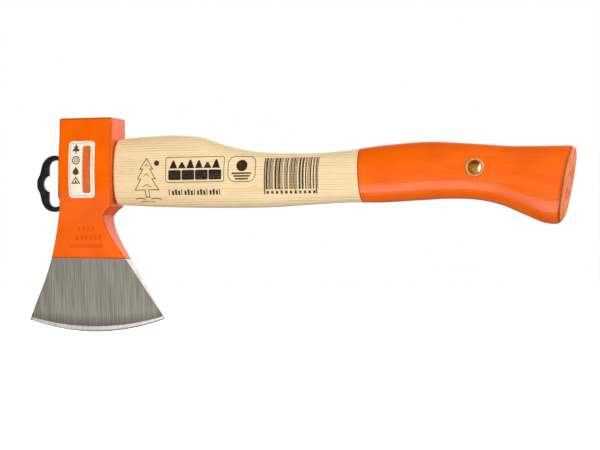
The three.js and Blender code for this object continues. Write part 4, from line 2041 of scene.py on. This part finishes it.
@dataclass
class FlatArt:
    """Flat shapes drawn in X and Z, to be laid on a curved surface as one thin closed film."""

    bm: Shape = field(default_factory=bmesh.new)

    def fill(self, points: Sequence[Flat]) -> None:
        """Adds a filled outline, given as its corners."""
        verts = [self.bm.verts.new((x, 0, z)) for x, z in points]
        bmesh.ops.contextual_create(self.bm, geom=verts)

    def box(self, low: Flat, high: Flat) -> None:
        """Adds a filled rectangle between two corners."""
        self.fill([low, (high[0], low[1]), high, (low[0], high[1])])

    def disc(self, centre: Flat, radius: float, steps: int = 28) -> None:
        """Adds a filled disc."""
        self.fill(rounded(centre, (radius, radius), radius, steps // 4))

    def line(self, points: Sequence[Flat], width: float, closed: bool = False) -> None:
        """Adds a line of even width, its corners mitred.

        Args:
            points: Where it goes.
            width: Its width.
            closed: Whether it joins up with its start.
        """
        count = len(points)
        edges = []
        for i, point in enumerate(points):
            before = points[i - 1] if closed or i else point
            after = points[(i + 1) % count] if closed or i < count - 1 else point
            into = Vector((point[0] - before[0], point[1] - before[1]))
            out = Vector((after[0] - point[0], after[1] - point[1]))
            into = into.normalized() if into.length > 1e-6 else out.normalized()
            out = out.normalized() if out.length > 1e-6 else into
            along = (into + out).normalized()
            across = Vector((-along.y, along.x)) * (width / 2 / max(along.dot(into), 0.4))
            pair = [self.bm.verts.new((point[0] + s * across.x, 0, point[1] + s * across.y))
                    for s in (-1, 1)]
            edges.append(self.bm.edges.new(pair))
        links = list(zip(edges, edges[1:])) + ([(edges[-1], edges[0])] if closed else [])
        for first, second in links:
            bmesh.ops.contextual_create(self.bm, geom=[*first.verts, *second.verts])

    def lay(self, surface: Surface, lift: float, thick: float,
            grid: Flat) -> Shape:
        """Lays the art on a surface.

        Args:
            surface: Y of the surface at X and Z.
            lift: How far the film's back stands off the surface.
            thick: The film's thickness.
            grid: Distance between cuts along X and Z, so that the film can bend.

        Returns:
            The closed film.
        """
        bm = self.bm
        bmesh.ops.triangulate(bm, faces=bm.faces[:])
        for axis, distance in ((0, grid[0]), (2, grid[1])):
            low = min(v.co[axis] for v in bm.verts)
            high = max(v.co[axis] for v in bm.verts)
            normal = Vector((1, 0, 0)) if axis == 0 else Vector((0, 0, 1))
            for i in range(1, int((high - low) / distance) + 1):
                bmesh.ops.bisect_plane(bm, geom=bm.verts[:] + bm.edges[:] + bm.faces[:],
                                       dist=1e-5, plane_co=normal * (low + i * distance),
                                       plane_no=normal)
        bmesh.ops.dissolve_degenerate(bm, dist=1e-4, edges=bm.edges)
        front = draw_out(bm)
        for vertex in bm.verts:
            off = lift + (thick if vertex in front else 0.0)
            vertex.co.y = surface(vertex.co.x, vertex.co.z) - off
        return outward(bm)


@dataclass
class Label:
    """The film label on the near cheek: keyline, a column of plain icons and a coloured bar."""

    head: Head
    low: Flat = (8.3, 92.6)
    high: Flat = (27.8, 131.8)
    corner: float = 2.8
    film: float = 0.14
    ink: float = 0.03

    def surface(self, x: float, z: float) -> float:
        """Y of the lacquered cheek."""
        return -self.head.half_thickness(x, z)

    @property
    def centre(self) -> Flat:
        """The label's middle."""
        return (self.low[0] + self.high[0]) / 2, (self.low[1] + self.high[1]) / 2

    @property
    def half(self) -> Flat:
        """Half the label's width and height."""
        return (self.high[0] - self.low[0]) / 2, (self.high[1] - self.low[1]) / 2

    def inset(self, by: float) -> list[Flat]:
        """The label's outline drawn in by a distance."""
        return rounded(self.centre, (self.half[0] - by, self.half[1] - by),
                       max(self.corner - by, 0.6))

    def icons(self) -> FlatArt:
        """A tree, a log end, a flame and a tent, one above another.

        Returns:
            The icons.
        """
        art = FlatArt()
        x = self.low[0] + 5.6
        z = self.high[1] - 7.0
        side = [(0.45, -1.6), (0.45, 0.0), (2.7, 0.0), (1.1, 1.7), (2.1, 1.7), (0.8, 3.3), (1.5, 3.3)]
        art.fill([(x + u, z + v) for u, v in side] + [(x, z + 5.2)]
                 + [(x - u, z + v) for u, v in reversed(side)])
        z -= 6.2
        art.line(rounded((x, z), (2.6, 2.6), 2.6), 0.75, closed=True)
        art.line(rounded((x, z), (1.3, 1.3), 1.3), 0.5, closed=True)
        art.disc((x, z), 0.4, 12)
        z -= 7.4
        flame = [(x, z + 3.2)] + curve((x, z + 3.2), (x + 0.4, z + 1.4), (x + 2.4, z + 0.6),
                                       (x + 2.3, z - 0.9), 8)
        flame += curve((x + 2.3, z - 0.9), (x + 2.2, z - 2.4), (x + 1.0, z - 2.9), (x, z - 2.9), 8)
        flame += [(2 * x - u, v) for u, v in reversed(flame[1:-1])]
        art.fill(flame)
        z -= 6.6
        art.line([(x - 2.8, z - 1.9), (x, z + 2.2), (x + 2.8, z - 1.9)], 0.75, closed=True)
        art.fill([(x - 0.9, z - 1.45), (x + 0.9, z - 1.45), (x, z + 0.4)])
        return art

    def build(self, bench: Bench) -> None:
        """Makes the film and what is printed on it.

        Args:
            bench: Where the pieces are made.
        """
        base = FlatArt()
        base.fill(self.inset(0.0))
        film = base.lay(self.surface, -0.01, self.film, (3.0, 2.0))
        rims = [e for e in film.edges if e.calc_face_angle(0) > math.radians(60)
                and all(v.co.y < self.surface(v.co.x, v.co.z) - 0.05 for v in e.verts)]
        bmesh.ops.bevel(film, geom=rims, offset=0.05, segments=2, profile=0.5, affect="EDGES",
                        material=-1)
        bench.finish("cheek_label_film", film, (Film(),), Slot.LABEL, "cheek_label")
        panel = FlatArt()
        panel.fill(self.inset(1.5))
        self.ink_on(bench, "cheek_label_panel", panel, 0,
                    Film(name="label_print_cream", colour="#F3E7CE", thin="#EBDBBB"))
        keyline = FlatArt()
        keyline.line(self.inset(1.2), 0.34, closed=True)
        self.ink_on(bench, "cheek_label_keyline", keyline, 0,
                    Ink(name="ink_grey_brown", colour="#6E6252", thin="#8C806E"))
        self.ink_on(bench, "cheek_label_icons", self.icons(), 1,
                    Ink(name="ink_dark_brown", colour="#4A3626", thin="#6B543E",
                        speck_mm=(1.5, 1.5, 1.5)))
        bar_half = (3.05, self.half[1] - 3.2)
        strip = FlatArt()
        strip.fill(rounded((self.high[0] - 5.9, self.centre[1]), bar_half, 1.6))
        self.ink_on(bench, "cheek_label_bar", strip, 1,
                    Ink(name="ink_orange_brown", colour="#D2622A", thin="#DE7A45",
                        speck_mm=(2.0, 2.0, 2.0), roughness=0.35))

    def ink_on(self, bench: Bench, name: str, art: FlatArt, layer: int, ink: Finish) -> None:
        """Prints art on the film.

        Args:
            bench: Where the piece is made.
            name: The print's name.
            art: What is printed.
            layer: 0 lies on the film, and 1 on a first layer.
            ink: The finish.
        """
        lift = self.film - 0.012 + layer * self.ink * 0.8
        bench.finish(name, art.lay(self.surface, lift, self.ink, (3.0, 2.0)), (ink,), Slot.LABEL)


@dataclass
class HandlePrints:
    """Black pad prints on the near side of the handle, all of them plain pictures or strips."""

    handle: Handle
    lift: float = -0.02
    ink: float = 0.07
    seed: int = 7

    def surface(self, x: float, z: float) -> float:
        """Y of the bare wood."""
        return self.handle.side_y(x, z)

    def pine(self) -> FlatArt:
        """A pine in outline on a strip of ground, with a sun beside it.

        Returns:
            The picture.
        """
        art = FlatArt()
        width = 0.5
        side = [(1.3, 92.6), (1.3, 97.4), (8.8, 97.4), (4.1, 104.9), (6.6, 104.9), (2.6, 111.6),
                (4.7, 111.6)]
        x = 66.0
        art.line([(x + u, z) for u, z in side] + [(x, 119.0)]
                 + [(x - u, z) for u, z in reversed(side)], width, closed=True)
        for low, half in ((99.3, 3.2), (106.6, 2.2), (113.2, 1.1)):
            art.line([(x - half, low), (x, low + 1.9), (x + half, low)], 0.38)
        art.line([(56.4, 91.3), (60.0, 91.9), (64.2, 91.2)], width)
        art.line([(67.8, 91.2), (71.6, 91.8), (76.0, 91.1)], width)
        art.line([(59.4, 89.4), (65.0, 89.9), (70.4, 89.3)], 0.38)
        art.disc((73.6, 115.6), 1.9)
        return art

    def framed_block(self) -> FlatArt:
        """A frame with a row of hills over a solid bar.

        Returns:
            The picture.
        """
        art = FlatArt()
        low, high = (80.4, 102.3), (122.6, 119.4)
        centre = ((low[0] + high[0]) / 2, (low[1] + high[1]) / 2)
        half = ((high[0] - low[0]) / 2, (high[1] - low[1]) / 2)
        art.line(rounded(centre, half, 1.4, 4), 0.42, closed=True)
        for i in range(4):
            art.fill(rounded((low[0] + 6.45 + i * 9.77, low[1] + 4.9), (4.6, 3.4), 0.9, 4))
        base = low[1] + 9.4
        for i in range(6):
            x = low[0] + 5.6 + i * 6.2
            tall = (5.4, 4.2, 5.9)[i % 3]
            art.fill([(x - 2.9, base), (x + 2.9, base), (x + 0.5, base + tall),
                      (x - 0.5, base + tall)])
        return art

    def badge(self) -> FlatArt:
        """A round-cornered badge with a sun over waves.

        Returns:
            The picture.
        """
        art = FlatArt()
        centre = (135.3, 110.7)
        art.line(rounded(centre, (9.7, 8.6), 5.0, 6), 0.42, closed=True)
        art.disc((centre[0], centre[1] + 2.3), 3.9)
        for i in range(3):
            z = centre[1] - 2.9 - 1.9 * i
            half = 7.2 - 1.2 * i
            art.fill(rounded((centre[0], z), (half, 0.5), 0.5, 3))
        return art

    def scale_marks(self) -> FlatArt:
        """A strip of short marks under the framed block.

        Returns:
            The strip.
        """
        art = FlatArt()
        for i in range(17):
            x = 82.0 + i * 2.3
            art.box((x, 93.6), (x + (1.5 if i % 4 else 0.7), 96.6 if i % 2 else 97.4))
        return art

    def stripes(self) -> FlatArt:
        """Upright stripes of uneven width, over a row of small dots.

        Returns:
            The strip.
        """
        chance = random.Random(self.seed)
        art = FlatArt()
        x, end = 151.2, 190.4
        number = 0
        while x < end:
            width = chance.choice((0.45, 0.45, 0.9, 1.35))
            low = 93.4 if number % 9 == 0 else 96.6
            art.box((x, low), (min(x + width, end), 117.8))
            x += width + chance.choice((0.4, 0.4, 0.8, 1.1))
            number += 1
        for i in range(11):
            art.box((152.9 + i * 3.3, 93.6), (154.6 + i * 3.3, 95.5))
        return art

    def build(self, bench: Bench) -> None:
        """Makes every print.

        Args:
            bench: Where the pieces are made.
        """
        black = Ink()
        worn = Ink(name="ink_black_pad_printed_thin", colour="#2B241B", thin="#7A6A50")
        for name, art, ink in (
            ("print_pine", self.pine(), worn),
            ("print_framed_block", self.framed_block(), black),
            ("print_badge", self.badge(), black), ("print_scale_marks", self.scale_marks(), black),
            ("print_stripes", self.stripes(), worn),
        ):
            film = art.lay(self.surface, self.lift, self.ink, (4.0, 1.2))
            bench.finish(name, film, (ink,), Slot.HANDLE)


# ---- Studio ----


@dataclass(frozen=True)
class Softbox:
    """A soft rectangular light that faces the hatchet."""

    name: str
    azimuth: float  # degrees to the right of the near cheek's front
    elevation: float  # degrees above the hatchet
    distance: float  # m
    size: Flat  # m
    power: float  # W
    mirrored: bool = True  # whether glossy surfaces show it


@dataclass
class Studio:
    """Floor, light and camera."""

    target: Vector
    azimuth: float = 19.0
    elevation: float = -1.5
    distance: float = 1.5
    lens: float = 133.5
    sensor: float = 36.0
    floor_size: float = 30.0
    near_strength: float = 0.02
    far_strength: float = 1.35
    dim: float = 0.12  # the room's light far above and below, as a share of it at the horizon
    behind: Flat = (-0.3, 0.5)
    under: Flat = (-0.28, -0.06)
    over: Flat = (0.5, 0.8)
    # The two low panels stand side by side: the grip's underside mirrors the brighter one, and
    # the blade and the lower cheek mirror the dimmer one. The fills light without being mirrored.
    lights: tuple[Softbox, ...] = (
        Softbox("key_right", 72, 12, 1.1, (0.9, 0.9), 5.6),
        Softbox("grip_panel", 6.2, -34.5, 1.0, (0.84, 0.54), 2.75),
        Softbox("head_panel", -38, -28, 1.15, (0.66, 0.72), 1.3),
        Softbox("front_fill", 10, 8, 1.6, (1.6, 1.2), 14.4, mirrored=False),
        Softbox("top_fill", 28, 58, 1.3, (1.2, 0.7), 8.0, mirrored=False),
        Softbox("under_fill", 12, -58, 1.3, (1.2, 0.7), 6.8, mirrored=False),
        Softbox("back_fill", 200, 30, 1.5, (1.4, 1.0), 9.0, mirrored=False),
    )

    def direction(self, azimuth: float, elevation: float) -> Vector:
        """The way from the hatchet to a place round it."""
        a, e = math.radians(azimuth), math.radians(elevation)
        return Vector((math.sin(a) * math.cos(e), -math.cos(a) * math.cos(e), math.sin(e)))

    def aim(self, obj: bpy.types.Object, place: Vector, at: Vector) -> None:
        """Puts a lamp or the camera at a place, looking at a point.

        Args:
            obj: The lamp or camera.
            place: Where it goes.
            at: What it looks at.
        """
        obj.location = place
        obj.rotation_euler = (at - place).to_track_quat("-Z", "Y").to_euler()
        bpy.context.scene.collection.objects.link(obj)

    def softbox(self, light: Softbox) -> None:
        """Adds a light.

        Args:
            light: Which light.
        """
        data = bpy.data.lights.new(light.name, "AREA")
        data.shape = "RECTANGLE"
        data.size, data.size_y = light.size
        data.energy = light.power
        made = bpy.data.objects.new(light.name, data)
        made.visible_camera = False
        made.visible_glossy = light.mirrored
        way = self.direction(light.azimuth, light.elevation)
        self.aim(made, self.target + way * light.distance, self.target)

    def floor(self) -> None:
        """Lays the pale floor."""
        bm = bmesh.new()
        bmesh.ops.create_grid(bm, x_segments=1, y_segments=1, size=self.floor_size)
        mesh = bpy.data.meshes.new("floor")
        bm.to_mesh(mesh)
        bm.free()
        mesh.materials.append(StudioFloor().material())
        made = bpy.data.objects.new("floor", mesh)
        made.visible_glossy = False
        made.visible_diffuse = False
        made.visible_shadow = False
        bpy.context.scene.collection.objects.link(made)
        made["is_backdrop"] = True

    def world(self) -> None:
        """Fills the room with white light: bright behind the hatchet, dim above, below and near."""
        world = bpy.data.worlds.new("studio")
        world.use_nodes = True
        tree = world.node_tree
        tree.nodes.clear()
        place = add(tree, "TexCoord")
        parts = add(tree, "SeparateXYZ", inputs={0: place.outputs["Generated"]})
        behind = add(tree, "MapRange", inputs={
            0: parts.outputs["Y"], 1: self.behind[0], 2: self.behind[1], 3: self.near_strength,
            4: self.far_strength,
        })
        under = add(tree, "MapRange", inputs={
            0: parts.outputs["Z"], 1: self.under[0], 2: self.under[1], 3: self.dim, 4: 1.0,
        })
        over = add(tree, "MapRange", inputs={
            0: parts.outputs["Z"], 1: self.over[0], 2: self.over[1], 3: 1.0, 4: self.dim,
        })
        level = add(tree, "Math", {"operation": "MULTIPLY"}, {0: under, 1: over})
        strength = add(tree, "Math", {"operation": "MULTIPLY"}, {0: behind, 1: level})
        soft = add(tree, "Background", inputs={
            "Color": (1, 1, 1, 1), "Strength": strength,
        })
        plain = add(tree, "Background", inputs={"Color": (1, 1, 1, 1), "Strength": 1.0})
        ray = add(tree, "LightPath")
        both = add(tree, "MixShader", inputs={
            0: ray.outputs["Is Camera Ray"], 1: soft, 2: plain,
        })
        add(tree, "OutputWorld", inputs={"Surface": both})
        bpy.context.scene.world = world

    def build(self) -> None:
        """Sets up the floor, the lights and the camera."""
        self.floor()
        self.world()
        for light in self.lights:
            self.softbox(light)
        data = bpy.data.cameras.new("camera")
        data.lens, data.sensor_width = self.lens, self.sensor
        data.clip_start, data.clip_end = 0.01, 100
        camera = bpy.data.objects.new("camera", data)
        self.aim(camera, self.target + self.direction(self.azimuth, self.elevation) * self.distance,
                 self.target)
        bpy.context.scene.camera = camera
        bpy.context.scene.view_settings.view_transform = "Standard"


def main() -> None:
    """Builds the hatchet's pieces in order, and the studio round them."""
    logging.basicConfig(level=logging.INFO, format="%(name)s: %(message)s", stream=sys.stdout)
    cad_low, cad_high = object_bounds()
    bench = Bench(Datum(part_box("handle")[0].x - TONGUE_END * MM))
    head = Head()
    handle = Handle(head)
    wedges = Wedges()
    hanger = Hanger()
    eyelet = Eyelet()
    head.build(bench)
    handle.build(bench, [wedges.kerf(), wedges.groove(), *eyelet.holes(),
                         *(hanger.hole(place) for place in hanger.screws)])
    wedges.build(bench)
    hanger.build(bench)
    eyelet.build(bench)
    Label(head).build(bench)
    HandlePrints(handle).build(bench)
    middle = (cad_low + cad_high) / 2
    Studio(Vector((middle.x + LOOK_ASIDE, 0.0, LOOK_HEIGHT))).build()
    log.info("%d pieces made", len(bench.made))


if __name__ == "__main__":
    main()
